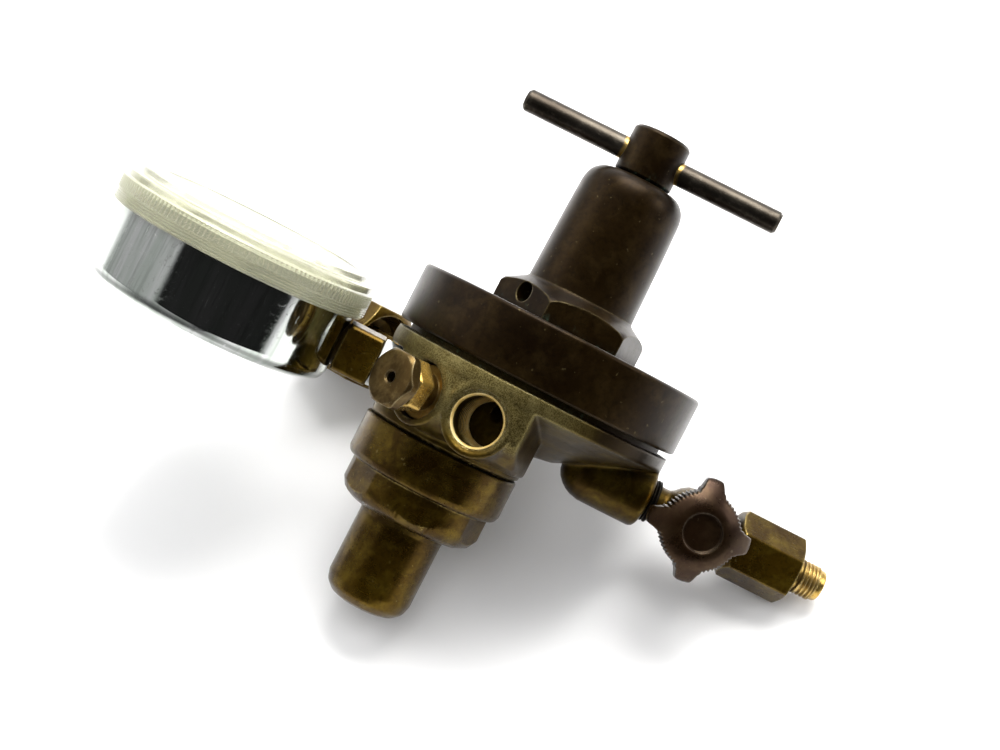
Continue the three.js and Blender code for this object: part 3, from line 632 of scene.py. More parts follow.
def body_brass():
    """Cast skin on the wall that carries the ports, smoother dark patina elsewhere."""
    mat = new_material("body_brass")
    x, y, z = from_datum(mat, 3)
    ragged = mat.mul(mat.sub(mat.noise(150), 0.5), 3.0)  # mm
    wall = mat.remap(mat.add(length_of(mat, x, y), ragged), 36.8, 38.2)
    wall = mat.mul(wall, mat.remap(mat.add(x, ragged), 6, 18, 1, 0))
    wall = mat.mul(wall, mat.remap(mat.add(z, ragged), -6.5, -1.5))
    skin = brass_nodes(
        mat, deep=(0.038, 0.026, 0.005), mid=(0.085, 0.064, 0.016),
        light=(0.165, 0.135, 0.05), rubbed=(0.55, 0.47, 0.24), rough=(0.36, 0.54),
        cast=0.45, wear=0.85, green=0.4,
    )
    patina = brass_nodes(
        mat, deep=(0.022, 0.01, 0.0005), mid=(0.075, 0.045, 0.003),
        light=(0.15, 0.105, 0.014), rubbed=(0.6, 0.48, 0.2), rough=(0.28, 0.4),
        patch=0.55, wear=0.8, streak=0.2, green=0.2,
    )
    colour = mat.mix(wall, patina[0], skin[0])
    # painted shade: darker rim under the bonnet, away from the ports
    bonnet_shade = mat.mul(mat.remap(z, 7.2, 9.0), mat.remap(mat.add(x, ragged), 10, 17))
    colour = mat.mix(mat.mul(bonnet_shade, 0.92), colour, (0.01, 0.005, 0.0008))
    rough, height = [
        mat.add(mat.mul(skin[i], wall), mat.mul(patina[i], mat.sub(1.0, wall))) for i in (1, 2)
    ]
    finish_brass(mat, colour, rough, height, strength=0.38, metallic=0.8, specular=0.25)


# ------------------------------------------------------------------ other materials
def plastic(name, colour, rough, spread=0.05, subsurface=0.0, scale=300):
    mat = new_material(name)
    noise = mat.noise(scale)
    base = mat.mix(mat.ramp(noise, 0.35, 0.7), dim(colour, 0.93), colour)
    # painted shade: darker in crevices, from the ambient occlusion mask
    base = mat.mix(mat.mul(mat.cavity(0.002), 0.5), base, dim(colour, 0.6))
    mat.finish(
        Base_Color=base, Roughness=mat.remap(noise, 0.3, 0.7, rough - spread, rough + spread),
        Normal=mat.bump(0.15, noise), Subsurface_Weight=subsurface,
    )


def steel():
    mat = new_material("steel")
    colour = (0.42, 0.42, 0.41)
    fine = mat.noise(500, detail=5)
    broad = mat.ramp(mat.noise(90, detail=3, rough=0.5), 0.35, 0.65)
    base = mat.mix(broad, dim(colour, 0.8), colour)
    # painted shade: darker in crevices, from the ambient occlusion mask
    base = mat.mix(mat.mul(mat.cavity(0.002), 0.7), base, dim(colour, 0.25))
    base = mat.mix(mat.mul(mat.edge(0.0003), 0.4), base, dim(colour, 1.4))
    mat.finish(
        Base_Color=base, Metallic=1.0, Roughness=mat.remap(fine, 0.3, 0.7, 0.24, 0.44),
        Normal=mat.bump(0.1, fine, Normal=mat.soft_normal(0.0002)),
    )


def black_steel():
    mat = new_material("black_steel")
    broad, medium = mat.noise(60, detail=5), mat.noise(500, detail=5, rough=0.65)
    fine = mat.ramp(mat.noise(2400, detail=3, rough=0.5), 0.66, 0.74)
    base = mat.mix(mat.ramp(broad, 0.35, 0.65), (0.03, 0.024, 0.018), (0.065, 0.056, 0.044))
    base = mat.mix(mat.mul(mat.ramp(medium, 0.55, 0.75), 0.5), base, (0.13, 0.115, 0.09))
    base = mat.mix(mat.mul(fine, 0.35), base, (0.25, 0.22, 0.17))
    # brass rubbed onto the bar where it slides through the head; mm from the main axis
    reach = length_of(mat, *from_datum(mat, 2))
    ring = mat.mul(mat.remap(reach, 7.6, 8.0), mat.remap(reach, 8.6, 9.3, 1, 0))
    ring = mat.mul(ring, mat.ramp(medium, 0.3, 0.55, start=0.3))
    base = mat.mix(ring, base, (0.5, 0.33, 0.09))
    base = mat.mix(mat.mul(mat.edge(0.0008), 0.6), base, (0.45, 0.42, 0.36))
    along_bar = (0, 0, radians(BAR_TURN))
    scratch = mat.streaks(
        mat.coord(), (120, 2200, 2200), 0.58, 0.7, turn=along_bar, detail=3
    )
    rough = mat.add(mat.remap(medium, 0.3, 0.7, 0.28, 0.4), mat.mul(scratch, 0.12))
    height = mat.add(mat.mul(medium, 0.6), mat.mul(scratch, 0.3))
    normal = mat.bump(0.25, height, distance=0.00012, Normal=mat.soft_normal(0.0004))
    mat.finish(Base_Color=base, Metallic=0.95, Roughness=rough, Normal=normal)


def chrome():
    """Stained chrome, with runs down the gauge case."""
    mat = new_material("chrome")
    fine = mat.noise(700, detail=5, rough=0.7)
    smear = mat.ramp(mat.noise(110, detail=5, rough=0.7, dist=1.2), 0.42, 0.62)
    offset = gauge_offset(mat)
    x, y, z = [along_gauge(mat, offset, axis) for axis in range(3)]
    # the case wall unrolled: mm round it (at radius 34) and mm of height
    around = mat.mul(mat.math("ARCTAN2", y, x), 34.0)
    wall = mat.node("CombineXYZ", X=around, Y=z).outputs[0]
    runs = mat.streaks(wall, (0.55, 0.035, 1), 0.5, 0.6, detail=5, rough=0.65)
    broad = mat.streaks(wall, (0.22, 0.02, 1), 0.4, 0.6, detail=2, rough=0.5)
    blots = mat.streaks(wall, (0.5, 0.5, 1), 0.58, 0.66, detail=6, rough=0.75, dist=1.0)
    scratch = mat.streaks(
        mat.coord(), (900, 900, 60), 0.64, 0.7, turn=(0.7, 0.5, 0.2), detail=3
    )
    base = mat.mix(broad, (0.56, 0.61, 0.56), (0.7, 0.72, 0.7))
    base = mat.mix(mat.mul(runs, 0.45), base, (0.34, 0.38, 0.34))
    base = mat.mix(mat.mul(blots, 0.4), base, (0.3, 0.3, 0.27))
    # painted shade: darker brown-grey in crevices, from the ambient occlusion mask
    base = mat.mix(mat.mul(mat.cavity(0.003), 0.6), base, (0.12, 0.1, 0.08))
    # painted reflection: dark ring where the wall turns into the back, standing for the shaded
    # floor mirrored there
    rim = mat.mul(mat.remap(z, -11.2, -10.2), mat.remap(z, -9.6, -8.6, 1, 0))
    base = mat.mix(mat.mul(rim, 0.75), base, (0.07, 0.075, 0.07))
    base = mat.mix(mat.mul(scratch, 0.2), base, (0.8, 0.8, 0.79))
    rough = mat.add(mat.mul(smear, 0.05), mat.remap(fine, 0.3, 0.7, 0.03, 0.07))
    rough = mat.add(rough, mat.mul(scratch, 0.12))
    rough = mat.add(rough, mat.mul(blots, 0.15))
    wobble = mat.bump(0.05, mat.noise(26, detail=2, rough=0.4), distance=0.001)
    normal = mat.bump(0.05, mat.add(mat.add(fine, scratch), blots), Normal=wobble)
    mat.finish(Base_Color=base, Metallic=1.0, Roughness=rough, Normal=normal)


def clear_plastic():
    """Clear moulded plastic, yellowed and slightly milky at the rim."""
    mat = new_material("clear_plastic")
    broad, fine = mat.noise(60), mat.noise(900)
    dust = mat.mul(mat.ramp(fine, 0.5, 0.75), mat.ramp(broad, 0.4, 0.6, start=0.2))
    offset = gauge_offset(mat)
    z = along_gauge(mat, offset, 2)
    length = mat.mul(mat.vector("LENGTH", offset)["Value"], 1000.0)
    square = mat.sub(mat.mul(length, length), mat.mul(z, z))
    radius = mat.math("SQRT", mat.math("MAXIMUM", square, 0.0))
    rim = mat.remap(radius, 30.6, 32.4)
    scratch = mat.streaks(
        mat.coord(), (1500, 80, 80), 0.62, 0.7, turn=(0.1, 0.2, 0.9), detail=3
    )
    base = mat.mix(rim, (0.97, 0.97, 0.93), (0.7, 0.7, 0.53))
    base = mat.mix(mat.mul(dust, 0.15), base, (0.8, 0.79, 0.68))
    rough = mat.add(mat.remap(broad, 0.3, 0.7, 0.03, 0.08), mat.mul(dust, 0.1))
    rough = mat.add(rough, mat.mul(rim, 0.06))
    rough = mat.add(rough, mat.mul(scratch, 0.1))
    mat.finish(
        Base_Color=base, Roughness=rough, IOR=1.47,
        Transmission_Weight=mat.sub(0.97, mat.mul(rim, 0.26)),
        Normal=mat.bump(0.05, mat.add(fine, scratch)),
    )


brass(
    "dark_brass", metallic=0.55, specular=0.12,
    deep=(0.005, 0.0021, 0.0003), mid=(0.019, 0.01, 0.0018), light=(0.042, 0.026, 0.008),
    rubbed=(0.3, 0.24, 0.11), rough=(0.28, 0.38), patch=0.45, wear=0.5, chips=0.12,
    green=0.35, streak=0.4,
)
brass(
    "olive_brass", metallic=0.74, specular=0.25,
    deep=(0.03, 0.014, 0.0005), mid=(0.085, 0.048, 0.002), light=(0.17, 0.115, 0.014),
    rubbed=(0.7, 0.54, 0.2), rough=(0.22, 0.34), patch=0.6, wear=0.85, chips=0.15, streak=0.35,
)
body_brass()
brass(
    "gold_brass",
    deep=(0.2, 0.1, 0.014), mid=(0.48, 0.31, 0.07), light=(0.66, 0.48, 0.17),
    rubbed=(0.88, 0.72, 0.38), rough=(0.18, 0.34), wear=0.6, dirt=0.75, patch=0.8,
)
brass(
    "bronze", metallic=0.9, specular=0.3,
    deep=(0.022, 0.012, 0.003), mid=(0.07, 0.042, 0.012), light=(0.16, 0.11, 0.042),
    rubbed=(0.6, 0.5, 0.28), rough=(0.3, 0.44), wear=0.8, chips=0.2,
)
brass(
    "knob_bronze", metallic=0.8, specular=0.6,
    deep=(0.014, 0.005, 0.0015), mid=(0.036, 0.017, 0.006), light=(0.085, 0.055, 0.025),
    rubbed=(0.4, 0.34, 0.23), rough=(0.24, 0.36), wear=0.3, chips=0.1, patch=0.45,
)
# spare port thread: clean machined brass, its colour raised further as painted light for the light
# falling into the port
brass(
    "lit_gold_brass", metallic=0.4,
    deep=(0.55, 0.34, 0.06), mid=(0.8, 0.58, 0.2), light=(0.95, 0.8, 0.42),
    rubbed=(1.0, 0.9, 0.55), rough=(0.24, 0.38), wear=0.5, dirt=0.12, patch=0.7,
)
brass(
    "blackened_brass", metallic=0.8, specular=0.3,
    deep=(0.006, 0.004, 0.002), mid=(0.014, 0.01, 0.006), light=(0.035, 0.028, 0.018),
    rubbed=(0.12, 0.1, 0.06), rough=(0.34, 0.5), wear=0.4,
)
plastic("thread_tape", (0.93, 0.93, 0.9), rough=0.55, spread=0.08, subsurface=0.1, scale=700)
plastic("rubber", (0.03, 0.03, 0.032), rough=0.75, spread=0.08)
steel()
plastic("washer_white", (0.78, 0.77, 0.72), rough=0.55)
brass(
    "filter_bronze", grain=0.6,
    deep=(0.2, 0.1, 0.03), mid=(0.4, 0.26, 0.12), light=(0.55, 0.4, 0.22),
    rubbed=(0.6, 0.5, 0.3), rough=(0.6, 0.8), cast=0.7, wear=0.2,
)
plastic("dial_white", (0.86, 0.86, 0.84), rough=0.45, spread=0.04)
plastic("pointer_black", (0.02, 0.02, 0.02), rough=0.45)
black_steel()
chrome()
clear_plastic()


# ------------------------------------------------------------------ making objects
def smooth(mesh, angle=32):
    """Smooth shading, sharp where faces meet at more than angle degrees."""
    mesh.polygons.foreach_set("use_smooth", [True] * len(mesh.polygons))
    mesh.set_sharp_from_angle(angle=radians(angle))


def build_mesh(name, geo, place, dissolve):
    mesh = bpy.data.meshes.new(name)
    verts = [tuple(map(float, vert)) for vert in geo[0]]
    mesh.from_pydata(verts, [], [tuple(map(int, face)) for face in geo[1]])
    work = bmesh.new()
    work.from_mesh(mesh)
    bmesh.ops.remove_doubles(work, verts=work.verts, dist=1e-5)
    if dissolve:
        bmesh.ops.dissolve_degenerate(work, dist=1e-6, edges=work.edges)
    bmesh.ops.recalc_face_normals(work, faces=work.faces)
    work.to_mesh(mesh)
    work.free()
    mesh.transform(BASE @ place)
    return mesh


def link(name, data):
    made = bpy.data.objects.new(name, data)
    bpy.context.scene.collection.objects.link(made)
    return made


def piece(
    name, geo, place, finish, node=None, body="regulator", slot=None, angle=32
):
    """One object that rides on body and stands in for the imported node."""
    mesh = build_mesh(name, geo, place, dissolve=True)
    smooth(mesh, angle)
    made = link(name, mesh)
    mesh.materials.append(FINISH[finish])
    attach(made, body)
    if node:
        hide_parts(node)
    slot = slot or NODE_SLOT.get(node)
    return made


def hex_piece(name, flats, turn, start, low, high, end, count, place, finish, node):
    """Chamfered hexagon between the fixed points start and end."""

    def profile(angle):
        return start + hex_outline(angle, flats, turn, low, high, (5, 4, 6)) + end

    piece(name, revolve(profile, count), place, finish, node)


def cut(target, geo, place):
    """Takes a solid out of target, whose mesh is rebuilt at once."""
    mesh = build_mesh("cutter", geo, place, dissolve=False)
    cutter = link("cutter", mesh)
    modifier = target.modifiers.new("cut", "BOOLEAN")
    modifier.object, modifier.operation, modifier.solver = cutter, "DIFFERENCE", "EXACT"
    bpy.context.view_layer.update()
    graph = bpy.context.evaluated_depsgraph_get()
    result = bpy.data.meshes.new_from_object(target.evaluated_get(graph))
    target.modifiers.clear()
    before = target.data
    target.data = result
    bpy.data.meshes.remove(before)
    bpy.data.objects.remove(cutter)
    bpy.data.meshes.remove(mesh)
    smooth(target.data)


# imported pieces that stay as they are
NODE_SLOT = {part["node"]: part["material_slot"] for part in frame["record"]["subparts"]}
for name, packed in frame["nodes"].items():
    packed.data.materials.clear()
    packed.data.materials.append(FINISH[NODE_SLOT.get(name, "steel")])
    smooth(packed.data, 40)

# Tables below are (radius, z[, fillet]) about the piece's own axis unless they say otherwise.

# ------------------------------------------------------------------ bonnet
BONNET_FLATS = 38.1
RING_TOP = 29.95
SKIRT = (37.7, 13.9)  # inner lower edge, where the outline starts and ends
BONNET_RING = rounded([SKIRT, (41.2, 13.9, 0.9), (41.2, RING_TOP, 1.1), (26, RING_TOP)], 5)
BONNET_CONE = [(23, 33.6), (21.15, 36.2), (15.9, 39.35)]
BONNET_BARREL = [
    (15.45, 39.9), (15.42, 40.6), (15.2, 50), (14.95, 60), (14.6, 69), (14.45, 70.2),
    (14.15, 71.5), (13.7, 72.6), (13.0, 73.6), (12.1, 74.4), (11.2, 74.95), (10.2, 75.25),
    (9.2, 75.4), (8.8, 75.4),
]
BONNET_INSIDE = [
    (5.05, 75.4), (5.05, 68.2), (12, 68.2), (12, 31.5), (31, 25.8), (31, 24.2), (37.7, 24.2),
    SKIRT,
]


def bonnet_profile(angle):
    turn = -90 + HEX_TURN
    low = [(hex_radius(angle, BONNET_FLATS, turn), RING_TOP), (40, RING_TOP)]
    hexagon = hex_outline(angle, BONNET_FLATS, turn, low, BONNET_CONE, (1, 4, 8))
    return BONNET_RING + hexagon + BONNET_BARREL + BONNET_INSIDE


bonnet = piece("Bonnet", revolve(bonnet_profile, 360), move(0, 0, 0), "dark_brass", "bonnet")
# side hole in a face of the hexagon
cut(bonnet, cylinder(2.85, 8, 30, 40), move(0, 0, 34.6) @ radial(60 - HEX_TURN))

# ------------------------------------------------------------------ adjusting screw
BAR_RADIUS = 3.175
BAR_HALF = 38.1
BAR_PLACE = move(0, 0, 81.9) @ spin_z(-BAR_TURN) @ ALONG_X
SCREW_TIP = [(0, 61), (1.7, 61.2), (3.6, 63)]
SCREW_HEAD = rounded(
    [(4.7, 75.7), (7.6, 75.8), (8.25, 76.4, 0.3), (8.25, 88.3, 0.3), (7.5, 89.2, 0.3), (0, 89.2)],
    3,
)
screw_thread = thread(4.76, depth=0.85, pitch=1.5875, z0=64, z1=75.6, runout=0.8)
screw = piece(
    "Adjusting_screw",
    revolve(lambda angle: SCREW_TIP + screw_thread(angle) + SCREW_HEAD, 96),
    move(0, 0, 0), "dark_brass", "adjusting_screw", body="adjusting_screw",
)
cut(screw, cylinder(BAR_RADIUS + 0.3, -20, 20, 48), BAR_PLACE)

TEE_BAR = [(0, -BAR_HALF), (2.5, -BAR_HALF)] + rounded(
    [
        (2.5, -BAR_HALF), (BAR_RADIUS, -37.3, 0.5), (BAR_RADIUS, 37.3, 0.5),
        (2.5, BAR_HALF), (0, BAR_HALF),
    ],
    4,
)
piece(
    "Tee_bar", revolve(densify(TEE_BAR, 2.0), 64), BAR_PLACE, "black_steel", "tee_bar",
    body="adjusting_screw",
)

# ------------------------------------------------------------------ first-stage cap
CAP_CHAMFER = [(12.6, -34.95), (15.8, -34.9), (18.6, -33.5), (20.05, -30.9), (21, -30.9)]
CAP_HEX_TOP = [(20.05, -24.75)]
CAP_END = rounded(
    [
        (0, -60.7), (6.6, -60.7, 1.5), (9.2, -59.9, 3), (11.3, -57.9, 3), (12.06, -55.2, 3),
        (12.06, -36.6, 0.2), CAP_CHAMFER[0],
    ],
    4,
)[:-1]
CAP_COLLAR = rounded(
    [
        (20.3, -24.72), (20.4, -24.7), (21.8, -24.1, 1.4), (22.4, -22.6, 1.2),
        (22.4, -12.5, 0.35), (22.0, -12.1, 0.2), (19.9, -12.1),
    ],
    4,
)
CAP_INSIDE = [(19.9, -17.9), (15, -17.9), (9.4, -23), (9.4, -56.8), (0, -57.6)]


def cap_profile(angle):
    hexagon = hex_outline(angle, 38.4, -88, CAP_CHAMFER, CAP_HEX_TOP, (6, 4, 0))
    return CAP_END + hexagon + CAP_COLLAR + CAP_INSIDE


piece("First_stage_cap", revolve(cap_profile, 360), LOW, "olive_brass", "first_stage_cap")

# ------------------------------------------------------------------ gauge case and lens
CASE = rounded(
    [
        (0, -11.7), (30.9, -11.7, 1.5), (33.2, -10.7, 1.8), (34.1, -8.5, 1.8), (34.1, 13.8),
        (33.1, 13.8), (33.1, -8.1), (30.7, -10.7), (0, -10.7),
    ],
    5,
)
case = piece("Gauge_case", revolve(CASE, 192), GAUGE, "chrome", "gauge_case")
cut(case, cylinder(6.4, 25, 40, 48), SOCKET)

KNURL_TEETH = 166
KNURL_DEPTH = 0.42
KNURL_LOW, KNURL_HIGH = 11.6, 15.2
BAND = 36.4  # radius of the screwed band


def knurl(angle, radius, z):
    """Coin-edge knurl on the upper part of the band."""
    if radius > 35.2 and KNURL_LOW < z < KNURL_HIGH:
        across = abs(((angle * KNURL_TEETH / (2 * pi)) % 1.0) * 2 - 1)
        fade = min(1.0, (z - KNURL_LOW) / 0.5, (KNURL_HIGH - z) / 0.4)
        radius -= KNURL_DEPTH * (1 - sqrt(1 - (across * 0.95) ** 2)) * fade
    return radius, z


lens = [
    (0, 17.3), (31.4, 17.3), (32.6, 16.4), (32.6, 14.2), (34.5, 14.2), (34.5, 8.4),
    (36.1, 8.4), (BAND, 8.8),
]
for z in (9.0, 9.7, 10.4, 11.1):  # turned grooves under the knurl
    lens += [(BAND, z), (BAND, z + 0.22), (36.12, z + 0.34), (36.12, z + 0.46), (BAND, z + 0.58)]
lens += [(BAND, z) for z in (11.72, 11.9, 12.2, 13.2, 14.2, 14.7, 14.9, 15.0)]
lens += [(36.1, 15.25)]
lens += rounded(
    [
        (35.6, 15.6), (35.5, 17.2, 0.3), (34.4, 17.55, 0.3), (33.3, 17.75, 0.4),
        (32.75, 19.2, 0.3), (32.3, 19.45, 0.2), (30.7, 19.45, 0.3), (30.0, 18.95, 0.3),
        (0, 18.95),
    ],
    4,
)
piece(
    "Gauge_lens", revolve(lens, KNURL_TEETH * 8, warp=knurl), GAUGE, "clear_plastic",
    "gauge_lens", angle=40,
)

# ------------------------------------------------------------------ dial and pointer
SCALE_START = 225  # degrees; the scale runs clockwise over SCALE_SWEEP
SCALE_SWEEP = 270
DIAL = rounded([(2.2, 12.1), (31.5, 12.1), (31.5, 12.7, 0.15), (2.2, 12.7), (2.2, 12.1)], 2)
piece("Gauge_dial", revolve(DIAL, 160), GAUGE, "dial_white", "gauge_dial")


def scale_mark(i):
    """Raised pad of one of the 61 marks."""
    if i % 10 == 0:
        start, width = 24.2, 0.55
    elif i % 5 == 0:
        start, width = 25.6, 0.35
    else:
        start, width = 26.6, 0.22
    pad = box((start, -width / 2, 12.6), (28.6, width / 2, 12.78))
    return placed(pad, spin_z(SCALE_START - SCALE_SWEEP * i / 60))


def scale_arc(i):
    """One 2.5 degree length of the line round the marks."""
    ends = radians(SCALE_START - 2.5 * i), radians(SCALE_START - 2.5 * (i + 1))
    verts = [
        (radius * cos(end), radius * sin(end), z)
        for end in ends for radius in (28.5, 28.8) for z in (12.6, 12.76)
    ]
    faces = [[0, 1, 3, 2], [4, 6, 7, 5], [0, 4, 5, 1], [2, 3, 7, 6], [1, 5, 7, 3], [0, 2, 6, 4]]
    return verts, faces


piece(
    "Dial_marks", join(*map(scale_mark, range(61)), *map(scale_arc, range(108))), GAUGE,
    "pointer_black", slot="pointer_black",
)

# (x, y) outline, tip towards +X
NEEDLE = [
    (-9, -1.5), (-8.2, -1.9), (-4, -1.0), (3, -0.95), (26, -0.22), (26.3, 0), (26, 0.22),
    (3, 0.95), (-4, 1.0), (-8.2, 1.9), (-9, 1.5),
]
HUB = rounded(
    [(1.2, 13.1), (2.4, 13.1, 0.2), (2.4, 14.2, 0.3), (1.8, 14.4, 0.2), (1.2, 14.4), (1.2, 13.1)],
    3,
)


def pointer():
    size = len(NEEDLE)
    verts = [(x, y, z) for z in (13.3, 13.75) for x, y in NEEDLE]
    verts += [(x * 0.995, y * 0.7, 13.9) for x, y in NEEDLE]
    faces = [list(range(size))[::-1], list(range(2 * size, 3 * size))]
    for k in (0, size):
        for i in range(size):
            j = (i + 1) % size
            faces.append([k + i, k + j, k + size + j, k + size + i])
    return join((verts, faces), revolve(HUB, 40))


piece(
    "Gauge_pointer", pointer(), GAUGE @ spin_z(SCALE_START), "pointer_black",
    "gauge_pointer", body="pointer",
)

# ------------------------------------------------------------------ gauge socket and tape
SHANK_LOW, SHANK_HIGH = 34.5, 44.6
SHANK_CHAMFER = [(8.2, SHANK_LOW), (8.95, 35.2), (9.6, 35.2)]
SOCKET_PITCH = 1.41
socket_thread = thread(
    5.95, depth=0.55, pitch=SOCKET_PITCH, z0=45.0, z1=59.2, runout=0.8, taper=0.03
)


def square_profile(angle):
    """Square shank with chamfered ends and turned corners."""
    off = (angle + pi / 4) % (pi / 2) - pi / 4
    edge = min(6.7 / cos(off), 8.95 + 0.12 * cos(4 * off))
    low = read_at(SHANK_CHAMFER, edge)
    flat = min(edge, 8.2)
    out = [(radius, SHANK_LOW) for radius in np.linspace(6.0, flat, 4)]
    out.append((edge, max(34.62, low)))
    out += [(edge, z) for z in (37, 40, 42)]
    out.append((edge, min(44.48, SHANK_HIGH - (low - SHANK_LOW))))
    return out + [(radius, SHANK_HIGH) for radius in np.linspace(flat, 5.9, 4)]


def socket_profile(angle):
    return (
        [(1.6, 31.9), (5.9, 31.9), (6.0, 34.45)] + square_profile(angle) + [(5.85, 44.9)]
        + socket_thread(angle) + [(4.9, 59.5), (1.6, 59.5), (1.6, 31.9)]
    )


# the square block lies inside the gauge case
inner_block = box((-6, -6, 14.5), (6, 6, 31.8), 0.5)
piece(
    "Gauge_socket", join(revolve(socket_profile, 144), inner_block), SOCKET, "olive_brass",
    "gauge_socket",
)


def tape_wrap(angle, radius, z):
    """Overlapping spiral wraps with wrinkles, thread ridges and ragged ends."""
    if radius < 6.5:
        return radius, z
    lap = ((z - 44.9) / 2.1 - angle / (2 * pi)) % 1.0
    edge = 0.16 * smoothstep((1 - lap) / 0.12)
    wrinkle = (
        0.05 * sin(angle * 5 + z * 2.1) + 0.035 * sin(angle * 11 - z * 3.7)
        + 0.02 * sin(angle * 23 + z * 9)
    )
    ridge = 0.07 * (1 - abs(2 * ((z / SOCKET_PITCH - angle / (2 * pi)) % 1) - 1))
    shifted = z
    if z > 55.2:
        shifted = z + 0.35 * sin(angle * 2 + 0.6) + 0.12 * sin(angle * 7)
    if z < 45.1:
        shifted = z - 0.12 * sin(angle * 3)
    return radius + 0.16 * lap * 0.7 + wrinkle + ridge - edge * 0.25, shifted


TAPE_START, TAPE_LENGTH = 44.95, 10.5
tape = [(6.32, TAPE_START), (6.5, TAPE_START)]
for i in range(71):
    z = TAPE_START + TAPE_LENGTH * i / 70
    tape.append((6.72 - 0.012 * (z - 45), z))
tape += [(6.5, 55.45), (6.32, 55.45), (6.32, TAPE_START)]
piece(
    "Thread_tape", revolve(tape, 160, warp=tape_wrap), SOCKET, "thread_tape", "thread_tape",
    angle=50,
)

# ------------------------------------------------------------------ relief valve
RELIEF_FACE = 36.7  # underside of the washer-like flange
RELIEF_CAP_LOW = [(7.15, 47.52), (7.9, 48.1)]
RELIEF_CAP_HIGH = [(7.0, 51.0), (7.9, 50.1)]


def relief_profile(angle):
    edge = min(hex_radius(angle, 12.7, 20), 7.12)
    face = RELIEF_FACE
    return [
        (2.7, 49), (2.7, 31), (1.3, 31), (1.3, 27.6), (4.6, 27.6), (4.9, 28), (4.9, face),
        (7.1, face), (7.3, face + 0.2), (7.3, face + 0.95), (7.1, face + 1.1),
        (4.9, face + 1.15), (4.9, 41.55), (edge - 0.5, 41.6), (edge, 42.05), (edge, 46.6),
        (edge - 0.5, 47.15), (4.2, 47.2), (3.9, 47.3), (3.9, 49), (2.7, 49),
    ]


def relief_cap_profile(angle):
    edge = min(hex_radius(angle, 14.29, 0), 7.9)
    low, high = read_at(RELIEF_CAP_LOW, edge), read_at(RELIEF_CAP_HIGH, edge)
    return [
        (1.4, 49.4), (4.3, 49.4), (4.3, 47.5), (6.7, 47.5), (7.0, 47.55),
        (edge, max(low, 47.7)), (edge, (low + high) / 2), (edge, min(high, 50.95)),
        (6.95, 50.99), (6.6, 51.05), (2.3, 51.05), (1.75, 50.95), (1.4, 50.6), (1.4, 49.4),
    ]


piece("Relief_body", revolve(relief_profile, 144), RELIEF, "gold_brass", "relief_body")
piece("Relief_cap", revolve(relief_cap_profile, 144), RELIEF, "bronze", "relief_cap")

# ------------------------------------------------------------------ needle valve
# (x, radius) of the outside
VALVE_OUTLINE = [
    (27.9, 5.2), (28, 5.4), (31, 6), (40.1, 6.0), (40.4, 5.0), (43.3, 5.0), (43.7, 5.0),
    (44.6, 4.9), (46.0, 5.0), (47.2, 5.7), (48.6, 7.1), (50.4, 8.25), (52.4, 8.62),
    (54.4, 8.62), (56.4, 8.35), (58.4, 7.85), (60.2, 7.6), (65.7, 7.6),
]
STEM_BORE = [(-1.9, 1.2), (2.0, 1.6), (2.4, 3.4), (30, 3.4)]  # (z, radius)


def valve_distance(points):
    along = local(points, ALONG_X)
    x = along[:, 2]
    dist = (np.hypot(along[:, 0], along[:, 1]) - read_at(VALVE_OUTLINE, x)) * 0.9
    dist = soft_max(dist, 28.0 - x, 0.3)
    dist = soft_max(dist, x - 65.7, 0.5)
    dist = soft_min(dist, rod(along, 6.0, 60, 75, 0.3), 0.3)
    stem = local(points, STEM)
    dist = soft_min(dist, rod(stem, 6.9, 0, 11.4, 0.5), 1.6)
    # bores
    for radius, start, end in ((2.6, 20, 48.9), (2.6, 54.9, 95), (1.3, 48, 54.5)):
        dist = carve(dist, rod(along, radius, start, end), 0.1)
    bore = np.hypot(stem[:, 0], stem[:, 1]) - read_at(STEM_BORE, stem[:, 2])
    dist = carve(dist, np.maximum(bore, -1.9 - stem[:, 2]), 0.1)
    seat = local(points, move(VALVE_X, 0, 0) @ ALONG_X)
    return carve(dist, rod(seat, 1.3, -1, 2.6), 0.1)


piece(
    "Needle_valve_body",
    surface_nets(valve_distance, low=(26.8, -13, -10), high=(76.5, 10.5, 10), step=0.42),
    move(0, 0, 0), "olive_brass", "needle_valve_body", slot="olive_brass", angle=38,
)
valve_thread = thread(6.05, depth=0.95, pitch=0.94, z0=39.2, z1=43.0, runout=0.4, per=9)


def valve_thread_profile(angle):
    return (
        [(4.7, 39.0), (5.3, 39.05)] + valve_thread(angle)
        + [(5.2, 43.15), (4.7, 43.2), (4.7, 39.0)]
    )


piece(
    "Valve_inlet_thread", revolve(valve_thread_profile, 120), ALONG_X, "blackened_brass",
    slot="olive_brass",
)
hex_piece(
    "Packing_nut", flats=12.7, turn=30,
    start=[(2.75, 16.4), (2.75, 11.7)],
    low=[(5.9, 11.7), (6.7, 11.85), (7.1, 12.2), (7.5, 12.7)],
    high=[(7.5, 15.2), (7.1, 15.7), (6.2, 16.3)],
    end=[(5.6, 16.4), (2.75, 16.4)],
    count=144, place=STEM, finish="gold_brass", node="packing_nut",
)

# ------------------------------------------------------------------ handwheel
# (degrees from the middle of a lobe, radius)
LOBE = [
    (0, 14.1), (6.5, 14.05), (8.5, 13.9), (10, 13.5), (12, 12.6), (15, 11.6), (19, 10.95),
    (24, 10.6), (45, 10.5),
]
WHEEL_TURN = 8.4
WHEEL_TOP = [
    (14.4, 21.4), (13.9, 21.9), (12.6, 22.9), (10.9, 24.15), (9, 25.3), (7.4, 26.05),
    (6.2, 26.38), (5.6, 26.42),
]


def wheel_radius(angle):
    """Four lobes, with coarse ribs in the scallops between them."""
    off = abs(((degrees(angle) - WHEEL_TURN + 45) % 90) - 45)
    radius = read_at(LOBE, off)
    if off > 16:
        fade = smoothstep((off - 16) / 4)
        radius += 0.1 - 0.5 * fade * (0.5 + 0.5 * cos(radians(off - 45) * 360 / 6.2))
    return radius


